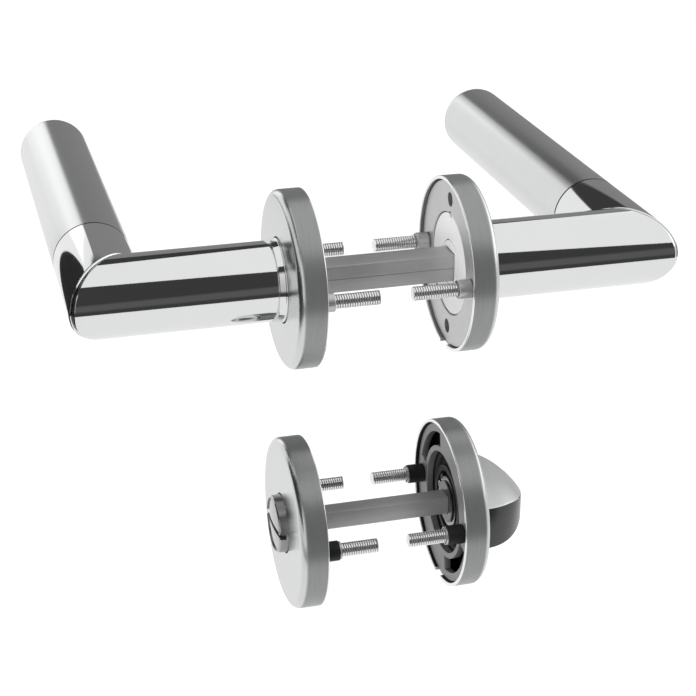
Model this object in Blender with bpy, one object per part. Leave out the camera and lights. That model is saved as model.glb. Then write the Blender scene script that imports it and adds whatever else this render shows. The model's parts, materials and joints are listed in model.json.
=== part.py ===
"""A pair of mitred door lever handles on round roses, and the bathroom turn and release
that goes with them, held together as they are on a door leaf of average thickness.

World frame: +X runs along the lever spindle from the outer side of the door to the inner
side, +Y from the spindle along the grips at rest, +Z up. The origin is on the lever
spindle's axis, halfway through the door leaf. Lengths are in metres.

Every piece of one side is modelled in that side's own frame: local X is the distance from
the door face outwards, and local Y is mirrored so that both grips point along world +Y.
"""

import math

import bmesh
import bpy
from mathutils import Matrix, Vector

# Driving dimensions
DOOR_THICKNESS = 0.041
BATH_DROP = 0.078  # lever axis to bathroom axis
GAP = 0.0003  # between neighbouring pieces

ROSE_DIAMETER = 0.051
ROSE_DEPTH = 0.008
ROSE_WALL = 0.001
ROSE_FILLET = 0.002
NOTCH_WIDTH = 0.005
NOTCH_DEPTH = 0.0012

PLATE_RECESS = 0.0011  # from the rim of the rose to the back of the mounting plate
PLATE_THICKNESS = 0.002
SCREW_HOLE_RADIUS = 0.0023
FIXING_INSET = 0.0047  # from the edge of the mounting plate to the circle of its fixings
NICK_RADIUS = 0.0015

STUD_RADIUS = 0.002
STUD_TIP_GAP = 0.0094  # between the tips of two studs that face each other
STUD_CHAMFER = 0.0004
STUD_SEAT = 0.0002  # its inner end stops this far inside the door face
SPIGOT_RADIUS = 0.0022  # the riveted end of a sleeve
SLEEVE_WALL = 0.0004
SLEEVE_HEAD_RADIUS = 0.0029
SLEEVE_HEAD_HEIGHT = 0.0008
LEVER_SLEEVE_LENGTH = 0.0029  # how far it stands out of the door face into the leaf
BATH_SLEEVE_LENGTH = 0.0047
BATH_SLEEVE_EXTRA = 0.0002  # the plastic sleeves are this much thicker in the wall

TUBE_DIAMETER = 0.023
GRIP_STANDOFF = 0.0566  # door face to the axis of the grip
GRIP_LENGTH = 0.1406  # spindle axis to the end of the grip
COLLAR_LENGTH = 0.029  # spindle axis to the joint with the grip
SPIGOT_LENGTH = 0.015
GRIP_WALL = 0.0015
GRIP_END_WALL = 0.003
GRIP_END_RADIUS = 0.004
MITRE_EDGE = 0.0006
DOWEL_RADIUS = 0.003
DOWEL_LENGTH = 0.012

NECK_FLARE = 0.0005  # the flare at the rose stands this much proud of the tube
NECK_FLARE_LENGTH = 0.0022
JOURNAL_SHOULDER = 0.0025
JOURNAL_LAND = 0.0003
GROOVE_DEPTH = 0.0008
GROOVE_LENGTH = 0.001
CIRCLIP_THICKNESS = 0.0004
CIRCLIP_WIDTH = 0.0019
CIRCLIP_OPENING = 0.005
LEVER_CLIP_ANGLE = math.radians(90)  # from local Y towards Z
BATH_CLIP_ANGLE = math.radians(30)
CAP_THICKNESS = 0.001
BUSH_WALL = 0.0023
BUSH_WEB = 0.0002  # the part of the flange beyond the groove
BUSH_END_CLEARANCE = 0.0005  # to the inside of the cover
BUSH_SEAT_STEP = 0.0015
SPRING_WIRE_RADIUS = 0.00035
SPRING_PITCH = 0.001
SPRING_TANG = 0.003
GRUB_RADIUS = 0.0025
GRUB_LENGTH = 0.006
GRUB_FROM_FACE = 0.016
GRUB_SOCKET_RADIUS = 0.0014
GRUB_SOCKET_DEPTH = 0.002

LEVER_SPINDLE_SIDE = 0.008
LEVER_SPINDLE_LENGTH = 0.120
BATH_SPINDLE_SIDE = 0.0055
BATH_SPINDLE_LENGTH = 0.054
SPINDLE_EDGE = 0.0003
INSERT_WALL = 0.0007

BATH_SHAFT_WALL = 0.0023
BATH_SHAFT_INSET = 0.0008  # from the back of the mounting plate to the end of the shaft
BATH_GROOVE_LENGTH = 0.0011
BATH_OPENING_STEP = 0.0007
CUP_END_CLEARANCE = 0.001  # to the inside of the cover
KIDNEY_HALF_WIDTH = 0.0022
KIDNEY_START = math.radians(15)
KIDNEY_END = math.radians(80)
DOME_RADIUS = 0.0092
DOME_HEIGHT = 0.0043
SLOT_WIDTH = 0.0016
SLOT_DEPTH = 0.0023
TURN_HALF_WIDTH = 0.019
TURN_PROJECTION = 0.0167
TURN_BASE_HALF = 0.0068  # half its thickness at the rose
TURN_TIP_HALF = 0.0027
TURN_TAPER_POWER = 2.4

# How the shapes are modelled
ROUND_STEPS = 32
SMALL_STEPS = 12
FILLET_STEPS = 2
GRIP_END_STEPS = 3
DOME_STEPS = 4
KIDNEY_STEPS = 8
SPRING_STEPS = 24
WING_STATIONS = 9
KEY_SIDES = 6
NICK_SIDES = 3
SHARP_ANGLE = math.radians(35)
CUTTER_MARGIN = 0.001
MERGE_DISTANCE = 1e-6

# What follows from them
DOOR_HALF = DOOR_THICKNESS / 2
ROSE_RADIUS = ROSE_DIAMETER / 2
COVER_INSIDE = ROSE_DEPTH - ROSE_WALL
PLATE_RADIUS = ROSE_RADIUS - ROSE_WALL - GAP
PLATE_FRONT = PLATE_RECESS + PLATE_THICKNESS
FIXING_CIRCLE = PLATE_RADIUS - FIXING_INSET
SLEEVE_BORE_END = GAP - STUD_SEAT
TUBE_RADIUS = TUBE_DIAMETER / 2
FLARE_RADIUS = TUBE_RADIUS + NECK_FLARE
JOURNAL_RADIUS = TUBE_RADIUS - JOURNAL_SHOULDER
LEVER_SOCKET = LEVER_SPINDLE_SIDE + 2 * GAP
BATH_SOCKET = BATH_SPINDLE_SIDE + 2 * GAP
BUSH_FLANGE_RADIUS = FIXING_CIRCLE - SLEEVE_HEAD_RADIUS - GAP
BUSH_SEAT_RADIUS = BUSH_FLANGE_RADIUS - BUSH_SEAT_STEP
PLATE_BORE = BUSH_SEAT_RADIUS + GAP
CAP_START = PLATE_RECESS + GAP
BUSH_START = CAP_START + CAP_THICKNESS + GAP
BUSH_END = COVER_INSIDE - BUSH_END_CLEARANCE
JOURNAL_END = BUSH_END + GAP
GROOVE_START = BUSH_START + JOURNAL_LAND
GROOVE_END = GROOVE_START + GROOVE_LENGTH
BUSH_BOSS_RADIUS = JOURNAL_RADIUS + GAP + BUSH_WALL
BUSH_FLANGE_START = PLATE_FRONT + GAP
BUSH_FLANGE_END = GROOVE_END + BUSH_WEB
INSERT_RADIUS = LEVER_SOCKET / math.sqrt(2) + INSERT_WALL
GRIP_BORE = TUBE_RADIUS - GRIP_WALL
BATH_SHAFT_RADIUS = BATH_SOCKET / math.sqrt(2) + BATH_SHAFT_WALL
BATH_OPENING = BUSH_FLANGE_RADIUS - BATH_OPENING_STEP
CUP_START = PLATE_FRONT + GAP
CUP_END = COVER_INSIDE - CUP_END_CLEARANCE
SHAFT_START = PLATE_RECESS + BATH_SHAFT_INSET
BATH_GROOVE_START = CUP_START - BATH_GROOVE_LENGTH

SIDES = {"outer": -1, "inner": 1}


def clear_scene():
    for obj in list(bpy.data.objects):
        bpy.data.objects.remove(obj)


def make_material(name, colour, roughness, metallic):
    material = bpy.data.materials.new(name)
    material.use_nodes = True
    shader = material.node_tree.nodes["Principled BSDF"]
    shader.inputs["Base Color"].default_value = (*colour, 1)
    shader.inputs["Roughness"].default_value = roughness
    shader.inputs["Metallic"].default_value = metallic
    material.diffuse_color = (*colour, 1)
    return material


def finish(bm, smooth=True):
    """Merges doubles, turns all faces outwards and returns the mesh."""
    bmesh.ops.remove_doubles(bm, verts=bm.verts, dist=MERGE_DISTANCE)
    bmesh.ops.recalc_face_normals(bm, faces=bm.faces)
    mesh = bpy.data.meshes.new("mesh")
    bm.to_mesh(mesh)
    bm.free()
    if smooth:
        mesh.shade_smooth()
        mesh.set_sharp_from_angle(angle=SHARP_ANGLE)
    return mesh


def turned(profile, steps):
    """Turns a closed outline of (distance along X, radius) points about the X axis."""
    bm = bmesh.new()
    verts = [bm.verts.new((along, 0, radius)) for along, radius in profile]
    edges = [bm.edges.new((a, b)) for a, b in zip(verts, verts[1:] + verts[:1])]
    bmesh.ops.spin(
        bm, geom=verts + edges, cent=(0, 0, 0), axis=(1, 0, 0), angle=math.tau, steps=steps
    )
    on_axis = [face for face in bm.faces if all(v.co.yz.length < MERGE_DISTANCE for v in face.verts)]
    bmesh.ops.delete(bm, geom=on_axis, context="FACES")
    bmesh.ops.remove_doubles(bm, verts=bm.verts, dist=MERGE_DISTANCE)
    return bm


def arc(centre, radius, start, end, steps):
    """Points of an arc in the plane of a turned profile, angles from the X axis in degrees."""
    points = []
    for step in range(steps + 1):
        angle = math.radians(start + (end - start) * step / steps)
        points.append((centre[0] + radius * math.cos(angle), centre[1] + radius * math.sin(angle)))
    return points


def rod(start, end, radius, steps=SMALL_STEPS, chamfer=0):
    """A plain cylinder along X, with an optional chamfer at its start."""
    profile = [(start, 0), (start, radius - chamfer)]
    if chamfer:
        profile.append((start + chamfer, radius))
    profile += [(end, radius), (end, 0)]
    return turned(profile, steps)


def ring(start, end, inner, outer, steps=ROUND_STEPS):
    return turned([(start, inner), (start, outer), (end, outer), (end, inner)], steps)


def box(low, high):
    bm = bmesh.new()
    centre = (Vector(low) + Vector(high)) / 2
    size = Vector(high) - Vector(low)
    scaled = Matrix.Translation(centre) @ Matrix.Diagonal(size).to_4x4()
    bmesh.ops.create_cube(bm, size=1, matrix=scaled)
    return bm


def moved(bm, matrix):
    bmesh.ops.transform(bm, matrix=matrix, verts=bm.verts)
    return bm


def put(name, mesh, material, frame, location=(0, 0, 0)):
    """Makes the object of one piece, in the frame of an empty on its own axis."""
    obj = bpy.data.objects.new(name, mesh)
    bpy.context.scene.collection.objects.link(obj)
    obj.parent = frame
    obj.location = location
    mesh.name = name
    if material:
        mesh.materials.append(material)
    return obj


def cut(obj, cutters):
    """Takes each cutter away from the piece. The cutters stay, hidden, for later changes."""
    for number, cutter in enumerate(cutters, 1):
        mesh = finish(cutter, smooth=False)
        tool = put(f"{obj.name}_cutter_{number}", mesh, None, obj.parent, obj.location)
        tool.hide_render = True
        tool.display_type = "WIRE"
        modifier = obj.modifiers.new(f"cut_{number}", "BOOLEAN")
        modifier.operation = "DIFFERENCE"
        modifier.solver = "EXACT"
        modifier.object = tool
    return obj


def split_mitre(bm, side, keep_grip_side):
    """Keeps the part of a tube on one side of the mitre plane, half a gap away from it."""
    normal = Vector((1, side, 0)).normalized()
    away = normal if keep_grip_side else -normal
    found = bmesh.ops.bisect_plane(
        bm,
        geom=bm.verts[:] + bm.edges[:] + bm.faces[:],
        plane_co=Vector((GRIP_STANDOFF, 0, 0)) + away * GAP / 2,
        plane_no=-away,
        clear_outer=True,
    )
    rim = [item for item in found["geom_cut"] if isinstance(item, bmesh.types.BMEdge)]
    bmesh.ops.holes_fill(bm, edges=rim)
    bmesh.ops.bevel(
        bm, geom=rim, offset=MITRE_EDGE, segments=1, profile=0.5, affect="EDGES", clamp_overlap=True
    )
    return bm


def square_socket(side_length, start, end):
    half = side_length / 2
    return box((start, -half, -half), (end, half, half))


def c_opening(radius, start, end, angle):
    """The cutter that opens a ring into a circlip, at an angle from local Y towards Z."""
    half = CIRCLIP_OPENING / 2
    margin = CUTTER_MARGIN
    opening = box((start - margin, 0, -half), (end + margin, radius + margin, half))
    return moved(opening, Matrix.Rotation(angle, 4, "X"))


def rose_cover(name, bore, material, frame):
    outer = arc((ROSE_DEPTH - ROSE_FILLET, ROSE_RADIUS - ROSE_FILLET), ROSE_FILLET, 90, 0, FILLET_STEPS)
    inner_fillet = ROSE_FILLET - ROSE_WALL
    centre = (COVER_INSIDE - inner_fillet, ROSE_RADIUS - ROSE_FILLET)
    inside = arc(centre, inner_fillet, 0, 90, FILLET_STEPS)
    profile = [(0, ROSE_RADIUS), *outer, (ROSE_DEPTH, bore), (COVER_INSIDE, bore), *inside]
    profile.append((0, ROSE_RADIUS - ROSE_WALL))
    cover = put(name, finish(turned(profile, ROUND_STEPS)), material, frame)
    half = NOTCH_WIDTH / 2
    low = -ROSE_RADIUS - CUTTER_MARGIN
    high = -ROSE_RADIUS + ROSE_WALL + CUTTER_MARGIN
    return cut(cover, [box((-CUTTER_MARGIN, -half, low), (NOTCH_DEPTH, half, high))])


def fixing_cutter(angle, radius):
    bm = rod(PLATE_RECESS - CUTTER_MARGIN, PLATE_FRONT + CUTTER_MARGIN, radius)
    at = Vector((0, math.cos(angle), math.sin(angle))) * FIXING_CIRCLE
    return moved(bm, Matrix.Translation(at))


def kidney_cutter(turn):
    """A curved slot on the fixing circle, between its two end angles."""
    inner = FIXING_CIRCLE - KIDNEY_HALF_WIDTH
    outer = FIXING_CIRCLE + KIDNEY_HALF_WIDTH
    low = PLATE_RECESS - CUTTER_MARGIN
    high = PLATE_FRONT + CUTTER_MARGIN
    bm = bmesh.new()
    corners = ((low, inner), (low, outer), (high, outer), (high, inner))
    verts = [bm.verts.new((along, radius, 0)) for along, radius in corners]
    face = bm.faces.new(verts)
    turned_to_start = Matrix.Rotation(KIDNEY_START + turn, 3, "X")
    bmesh.ops.rotate(bm, cent=(0, 0, 0), matrix=turned_to_start, verts=verts)
    bmesh.ops.spin(
        bm,
        geom=[face],
        cent=(0, 0, 0),
        axis=(1, 0, 0),
        angle=KIDNEY_END - KIDNEY_START,
        steps=KIDNEY_STEPS,
    )
    bmesh.ops.holes_fill(bm, edges=bm.edges)
    return bm


def mounting_plate(name, bore, material, frame, extra_cutters):
    mesh = finish(ring(PLATE_RECESS, PLATE_FRONT, bore, PLATE_RADIUS))
    plate = put(name, mesh, material, frame)
    sleeves = [fixing_cutter(angle, SPIGOT_RADIUS + GAP) for angle in (0, math.pi)]
    return cut(plate, sleeves + extra_cutters)


def stud_and_sleeve(
    prefix, place, direction, sleeve_length, extra, sleeve_material, stud_material, frame
):
    """A sleeve riveted into the mounting plate, and the threaded stud that screws into it."""
    outer = STUD_RADIUS + GAP + SLEEVE_WALL + extra
    bore = STUD_RADIUS + GAP
    shoulder = PLATE_RECESS - GAP
    head = PLATE_FRONT + GAP
    head_end = head + SLEEVE_HEAD_HEIGHT
    profile = [
        (-sleeve_length, bore),
        (-sleeve_length, outer),
        (shoulder, outer),
        (shoulder, SPIGOT_RADIUS),
        (head, SPIGOT_RADIUS),
        (head, SLEEVE_HEAD_RADIUS),
        (head_end, SLEEVE_HEAD_RADIUS),
        (head_end, 0),
        (SLEEVE_BORE_END, 0),
        (SLEEVE_BORE_END, bore),
    ]
    location = (0, direction * FIXING_CIRCLE, 0)
    sleeve = finish(turned(profile, SMALL_STEPS))
    put(f"{prefix}_sleeve_{place}", sleeve, sleeve_material, frame, location)
    tip = STUD_TIP_GAP / 2 - DOOR_HALF
    stud = rod(tip, -STUD_SEAT, STUD_RADIUS, chamfer=STUD_CHAMFER)
    put(f"{prefix}_stud_{place}", finish(stud), stud_material, frame, location)


def bearing_bush(name, material, frame):
    """A flanged bush with a counterbore at its back for the circlip."""
    counterbore = JOURNAL_RADIUS - GROOVE_DEPTH + GAP + CIRCLIP_WIDTH + GAP
    bore = JOURNAL_RADIUS + GAP
    profile = [
        (BUSH_START, counterbore),
        (BUSH_START, BUSH_SEAT_RADIUS),
        (BUSH_FLANGE_START, BUSH_SEAT_RADIUS),
        (BUSH_FLANGE_START, BUSH_FLANGE_RADIUS),
        (BUSH_FLANGE_END, BUSH_FLANGE_RADIUS),
        (BUSH_FLANGE_END, BUSH_BOSS_RADIUS),
        (BUSH_END, BUSH_BOSS_RADIUS),
        (BUSH_END, bore),
        (GROOVE_END, bore),
        (GROOVE_END, counterbore),
    ]
    return put(name, finish(turned(profile, ROUND_STEPS)), material, frame)


def circlip(name, groove_radius, start, angle, material, frame):
    inner = groove_radius + GAP
    outer = inner + CIRCLIP_WIDTH - GAP
    end = start + CIRCLIP_THICKNESS
    clip = put(name, finish(ring(start, end, inner, outer)), material, frame)
    return cut(clip, [c_opening(outer, start, end, angle)])


def return_spring(name, side, material, frame):
    """A torsion spring around the boss of the bush, with a tang at each end."""
    low = BUSH_FLANGE_END + GAP + SPRING_WIRE_RADIUS
    high = COVER_INSIDE - GAP - SPRING_WIRE_RADIUS
    coil = BUSH_BOSS_RADIUS + 2 * GAP + SPRING_WIRE_RADIUS
    turns = (high - low) / SPRING_PITCH
    points = []
    for step in range(SPRING_STEPS + 1):
        share = step / SPRING_STEPS
        angle = side * math.tau * turns * share
        points.append((low + (high - low) * share, coil * math.cos(angle), coil * math.sin(angle)))
    for end, index in ((points[0], 0), (points[-1], len(points) + 1)):
        out = Vector((0, end[1], end[2])).normalized() * SPRING_TANG
        points.insert(index, (end[0], end[1] + out.y, end[2] + out.z))
    curve = bpy.data.curves.new(name, "CURVE")
    curve.dimensions = "3D"
    curve.bevel_depth = SPRING_WIRE_RADIUS
    curve.bevel_resolution = 1
    curve.use_fill_caps = True
    spline = curve.splines.new("POLY")
    spline.points.add(len(points) - 1)
    for point, place in zip(spline.points, points):
        point.co = (*place, 1)
    return put(name, curve, material, frame)


def lever_neck(name, side, material, frame):
    groove = JOURNAL_RADIUS - GROOVE_DEPTH
    flare_end = ROSE_DEPTH + NECK_FLARE_LENGTH
    past_corner = GRIP_STANDOFF + 2 * TUBE_RADIUS
    profile = [
        (BUSH_START, 0),
        (BUSH_START, JOURNAL_RADIUS),
        (GROOVE_START, JOURNAL_RADIUS),
        (GROOVE_START, groove),
        (GROOVE_END, groove),
        (GROOVE_END, JOURNAL_RADIUS),
        (JOURNAL_END, JOURNAL_RADIUS),
        (JOURNAL_END, FLARE_RADIUS),
        (flare_end - NECK_FLARE, FLARE_RADIUS),
        (flare_end, TUBE_RADIUS),
        (past_corner, TUBE_RADIUS),
        (past_corner, 0),
    ]
    bm = turned(profile, ROUND_STEPS)
    split_mitre(bm, side, keep_grip_side=False)
    neck = put(name, finish(bm), material, frame)
    socket_end = LEVER_SPINDLE_LENGTH / 2 - DOOR_HALF + GAP
    return cut(
        neck,
        [
            square_socket(LEVER_SOCKET, BUSH_START - CUTTER_MARGIN, socket_end),
            grub_hole(),
            dowel(side, DOWEL_RADIUS + GAP, DOWEL_LENGTH + 2 * GAP),
        ],
    )


def elbow_collar(name, side, material, frame):
    spigot_radius = GRIP_BORE - GAP
    spigot_end = COLLAR_LENGTH + SPIGOT_LENGTH
    profile = [
        (-2 * TUBE_RADIUS, 0),
        (-2 * TUBE_RADIUS, TUBE_RADIUS),
        (COLLAR_LENGTH, TUBE_RADIUS),
        (COLLAR_LENGTH, spigot_radius),
        (spigot_end, spigot_radius),
        (spigot_end, 0),
    ]
    bm = moved(turned(profile, ROUND_STEPS), along_grip(side))
    split_mitre(bm, side, keep_grip_side=True)
    collar = put(name, finish(bm), material, frame)
    return cut(collar, [dowel(side, DOWEL_RADIUS + GAP, DOWEL_LENGTH + 2 * GAP)])


def grip(name, side, material, frame):
    start = COLLAR_LENGTH + GAP
    end = GRIP_LENGTH
    centre = (end - GRIP_END_RADIUS, TUBE_RADIUS - GRIP_END_RADIUS)
    rounded = arc(centre, GRIP_END_RADIUS, 90, 0, GRIP_END_STEPS)
    bore_end = end - GRIP_END_WALL
    inner_radius = max(GRIP_END_RADIUS - GRIP_WALL, GAP)
    inner_centre = (bore_end - inner_radius, GRIP_BORE - inner_radius)
    inside = arc(inner_centre, inner_radius, 0, 90, FILLET_STEPS)
    profile = [(start, GRIP_BORE), (start, TUBE_RADIUS), *rounded, (end, 0), (bore_end, 0), *inside]
    bm = moved(turned(profile, ROUND_STEPS), along_grip(side))
    return put(name, finish(bm), material, frame)


def along_grip(side):
    """Takes a shape on the X axis to the axis of the grip."""
    return Matrix.Translation((GRIP_STANDOFF, 0, 0)) @ Matrix.Rotation(side * math.pi / 2, 4, "Z")


def dowel(side, radius, length):
    """A pin square to the mitre plane, half in the neck and half in the collar."""
    bm = rod(-length / 2, length / 2, radius, SMALL_STEPS)
    turn = Matrix.Rotation(side * math.pi / 4, 4, "Z")
    return moved(bm, Matrix.Translation((GRIP_STANDOFF, 0, 0)) @ turn)


def downwards(distance):
    """Takes a shape on the X axis to point down, that far from the door face."""
    return Matrix.Translation((distance, 0, 0)) @ Matrix.Rotation(math.pi / 2, 4, "Y")


def grub_hole():
    bm = rod(0, TUBE_RADIUS + CUTTER_MARGIN, GRUB_RADIUS + GAP)
    return moved(bm, downwards(GRUB_FROM_FACE))


def grub_screw(name, material, frame):
    start = LEVER_SPINDLE_SIDE / 2 + GAP
    end = start + GRUB_LENGTH
    body = moved(rod(start, end, GRUB_RADIUS), downwards(GRUB_FROM_FACE))
    screw = put(name, finish(body), material, frame)
    key = rod(end - GRUB_SOCKET_DEPTH, end + CUTTER_MARGIN, GRUB_SOCKET_RADIUS, KEY_SIDES)
    return cut(screw, [moved(key, downwards(GRUB_FROM_FACE))])


def drive_insert(name, material, frame):
    end = CAP_START + CAP_THICKNESS
    insert = put(name, finish(rod(CAP_START, end, INSERT_RADIUS, ROUND_STEPS)), material, frame)
    margin = CUTTER_MARGIN
    return cut(insert, [square_socket(LEVER_SOCKET, CAP_START - margin, end + margin)])


def spindle(name, side_length, length, material, frame):
    half = side_length / 2
    mesh = finish(box((-length / 2, -half, -half), (length / 2, half, half)), smooth=False)
    bar = put(name, mesh, material, frame)
    bevel = bar.modifiers.new("edges", "BEVEL")
    bevel.width = SPINDLE_EDGE
    bevel.segments = 1
    return bar


def shaft_profile(end):
    """The stepped shaft that the bathroom dome and turn share, up to the given length."""
    groove = BATH_SHAFT_RADIUS - GROOVE_DEPTH
    return [
        (SHAFT_START, 0),
        (SHAFT_START, BATH_SHAFT_RADIUS),
        (BATH_GROOVE_START, BATH_SHAFT_RADIUS),
        (BATH_GROOVE_START, groove),
        (CUP_START, groove),
        (CUP_START, BATH_SHAFT_RADIUS),
        (end, BATH_SHAFT_RADIUS),
    ]


def bath_socket_end():
    return BATH_SPINDLE_LENGTH / 2 - DOOR_HALF + GAP


def release_dome(name, material, frame):
    start = CUP_END + GAP
    ball = (DOME_RADIUS**2 + DOME_HEIGHT**2) / (2 * DOME_HEIGHT)
    reach = math.degrees(math.asin(DOME_RADIUS / ball))
    cap = arc((ROSE_DEPTH + DOME_HEIGHT - ball, 0), ball, reach, 0, DOME_STEPS)
    profile = [*shaft_profile(start), (start, DOME_RADIUS), *cap]
    dome = put(name, finish(turned(profile, ROUND_STEPS)), material, frame)
    top = ROSE_DEPTH + DOME_HEIGHT
    slot = box(
        (top - SLOT_DEPTH, -DOME_RADIUS - CUTTER_MARGIN, -SLOT_WIDTH / 2),
        (top + CUTTER_MARGIN, DOME_RADIUS + CUTTER_MARGIN, SLOT_WIDTH / 2),
    )
    socket = square_socket(BATH_SOCKET, SHAFT_START - CUTTER_MARGIN, bath_socket_end())
    return cut(dome, [socket, slot])


def turn_wing():
    """The finger piece: half an ellipse in plan, thinner towards its tip."""
    bm = bmesh.new()
    start = ROSE_DEPTH + GAP
    last = None
    for station in range(WING_STATIONS + 1):
        angle = math.pi / 2 * station / WING_STATIONS
        share = math.sin(angle)
        x = start + TURN_PROJECTION * share
        y = TURN_HALF_WIDTH * math.cos(angle)
        z = TURN_BASE_HALF - (TURN_BASE_HALF - TURN_TIP_HALF) * share**TURN_TAPER_POWER
        signs = ((-1, -1), (1, -1), (1, 1), (-1, 1))
        corners = [bm.verts.new((x, sy * y, sz * z)) for sy, sz in signs]
        if last is None:
            bm.faces.new(corners)
        else:
            for a in range(4):
                b = (a + 1) % 4
                bm.faces.new((last[a], last[b], corners[b], corners[a]))
        last = corners
    return bm


def thumb_turn(name, material, frame):
    overlap = ROSE_DEPTH + 4 * GAP
    shaft = turned([*shaft_profile(overlap), (overlap, 0)], ROUND_STEPS)
    turn = put(name, finish(turn_wing()), material, frame)
    stem = put(f"{name}_stem", finish(shaft), None, frame)
    stem.hide_render = True
    stem.display_type = "WIRE"
    join = turn.modifiers.new("stem", "BOOLEAN")
    join.operation = "UNION"
    join.solver = "EXACT"
    join.object = stem
    socket = square_socket(BATH_SOCKET, SHAFT_START - CUTTER_MARGIN, bath_socket_end())
    return cut(turn, [socket])


def keyhole_nick():
    """The small three-cornered nick at the top of the bore of the lever's mounting plate."""
    low = PLATE_RECESS - CUTTER_MARGIN
    high = PLATE_FRONT + CUTTER_MARGIN
    return moved(rod(low, high, NICK_RADIUS, NICK_SIDES), Matrix.Translation((0, 0, PLATE_BORE)))


def axis_empty(name, location):
    empty = bpy.data.objects.new(name, None)
    bpy.context.scene.collection.objects.link(empty)
    empty.location = location
    return empty


def side_frame(name, side, axis):
    """The frame of one side: at the door face on the axis, turned round on the outer side."""
    empty = axis_empty(name, (side * DOOR_HALF, 0, 0))
    empty.rotation_euler.z = 0 if side > 0 else math.pi
    empty.parent = axis
    return empty


def lever_side(name, side, axis, looks):
    frame = side_frame(f"{name}_lever_frame", side, axis)
    rose_cover(f"{name}_lever_rose_cover", FLARE_RADIUS + GAP, looks["satin_steel"], frame)
    screw_holes = [fixing_cutter(angle, SCREW_HOLE_RADIUS) for angle in (math.pi / 2, -math.pi / 2)]
    plate_cutters = [*screw_holes, keyhole_nick()]
    mounting_plate(f"{name}_lever_mount_plate", PLATE_BORE, looks["zinc_plate"], frame, plate_cutters)
    cap = ring(CAP_START, CAP_START + CAP_THICKNESS, INSERT_RADIUS + GAP, BUSH_SEAT_RADIUS)
    put(f"{name}_bearing_cap", finish(cap), looks["white_nylon"], frame)
    bearing_bush(f"{name}_bearing_bush", looks["white_nylon"], frame)
    drive_insert(f"{name}_drive_insert", looks["white_nylon"], frame)
    clip_start = GROOVE_START + GAP
    circlip(
        f"{name}_lever_circlip", JOURNAL_RADIUS - GROOVE_DEPTH, clip_start, LEVER_CLIP_ANGLE,
        looks["spring_steel"], frame,
    )
    return_spring(f"{name}_return_spring", side, looks["spring_steel"], frame)
    lever_neck(f"{name}_neck", side, looks["polished_steel"], frame)
    elbow_collar(f"{name}_elbow_collar", side, looks["polished_steel"], frame)
    mitre_pin = finish(dowel(side, DOWEL_RADIUS, DOWEL_LENGTH))
    put(f"{name}_mitre_dowel", mitre_pin, looks["spring_steel"], frame)
    grip(f"{name}_grip", side, looks["satin_tube"], frame)
    grub_screw(f"{name}_grub_screw", looks["spring_steel"], frame)
    for place, direction in (("front", -side), ("back", side)):
        stud_and_sleeve(
            f"{name}_lever", place, direction, LEVER_SLEEVE_LENGTH, 0,
            looks["zinc_plate"], looks["bright_zinc"], frame,
        )


def bath_side(name, side, axis, looks):
    frame = side_frame(f"{name}_bath_frame", side, axis)
    bore = (BATH_SHAFT_RADIUS if side > 0 else DOME_RADIUS) + GAP
    rose_cover(f"{name}_bath_rose_cover", bore, looks["satin_steel"], frame)
    kidneys = [kidney_cutter(0), kidney_cutter(math.pi)]
    mounting_plate(f"{name}_bath_mount_plate", BATH_OPENING, looks["grey_plate"], frame, kidneys)
    cup = ring(CUP_START, CUP_END, BATH_SHAFT_RADIUS + GAP, BUSH_FLANGE_RADIUS)
    put(f"{name}_bearing_cup", finish(cup), looks["black_plastic"], frame)
    clip_start = BATH_GROOVE_START + GAP
    circlip(
        f"{name}_bath_circlip", BATH_SHAFT_RADIUS - GROOVE_DEPTH, clip_start, BATH_CLIP_ANGLE,
        looks["spring_steel"], frame,
    )
    for place, direction in (("front", -side), ("back", side)):
        stud_and_sleeve(
            f"{name}_bath", place, direction, BATH_SLEEVE_LENGTH, BATH_SLEEVE_EXTRA,
            looks["black_plastic"], looks["bright_zinc"], frame,
        )
    if side > 0:
        thumb_turn("thumb_turn", looks["satin_steel"], frame)
    else:
        release_dome("release_dome", looks["polished_steel"], frame)


def main():
    clear_scene()
    looks = {
        "polished_steel": make_material("polished_steel", (0.72, 0.72, 0.73), 0.08, 1),
        "satin_tube": make_material("satin_tube", (0.66, 0.67, 0.67), 0.32, 1),
        "satin_steel": make_material("satin_steel", (0.60, 0.60, 0.60), 0.36, 1),
        "zinc_plate": make_material("zinc_plate", (0.55, 0.55, 0.55), 0.45, 1),
        "grey_plate": make_material("grey_plate", (0.32, 0.32, 0.32), 0.5, 1),
        "bright_zinc": make_material("bright_zinc", (0.78, 0.78, 0.78), 0.25, 1),
        "spring_steel": make_material("spring_steel", (0.35, 0.35, 0.36), 0.35, 1),
        "spindle_steel": make_material("spindle_steel", (0.42, 0.42, 0.43), 0.45, 1),
        "white_nylon": make_material("white_nylon", (0.82, 0.82, 0.81), 0.45, 0),
        "black_plastic": make_material("black_plastic", (0.02, 0.02, 0.02), 0.4, 0),
    }
    lever_axis = axis_empty("lever_axis", (0, 0, 0))
    bath_axis = axis_empty("bath_axis", (0, 0, -BATH_DROP))
    for name, side in SIDES.items():
        lever_side(name, side, lever_axis, looks)
        bath_side(name, side, bath_axis, looks)
    bars = looks["spindle_steel"]
    spindle("lever_spindle", LEVER_SPINDLE_SIDE, LEVER_SPINDLE_LENGTH, bars, lever_axis)
    spindle("bath_spindle", BATH_SPINDLE_SIDE, BATH_SPINDLE_LENGTH, bars, bath_axis)


main()
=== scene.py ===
"""Looks for a pair of mitred door lever handles on round roses and their bathroom set.

Run as a script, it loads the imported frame, models every piece that shows, gives each its
finish and sets up the studio. Lengths are in metres. World +X runs along the lever spindle
from the outer side of the door to the inner side, +Y along the grips and +Z up.

A piece of one side is modelled in that side's own frame, where X is the distance from the
door face outwards, and is then placed on the inner side and copied to the outer one.
"""

import json
import math

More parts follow.
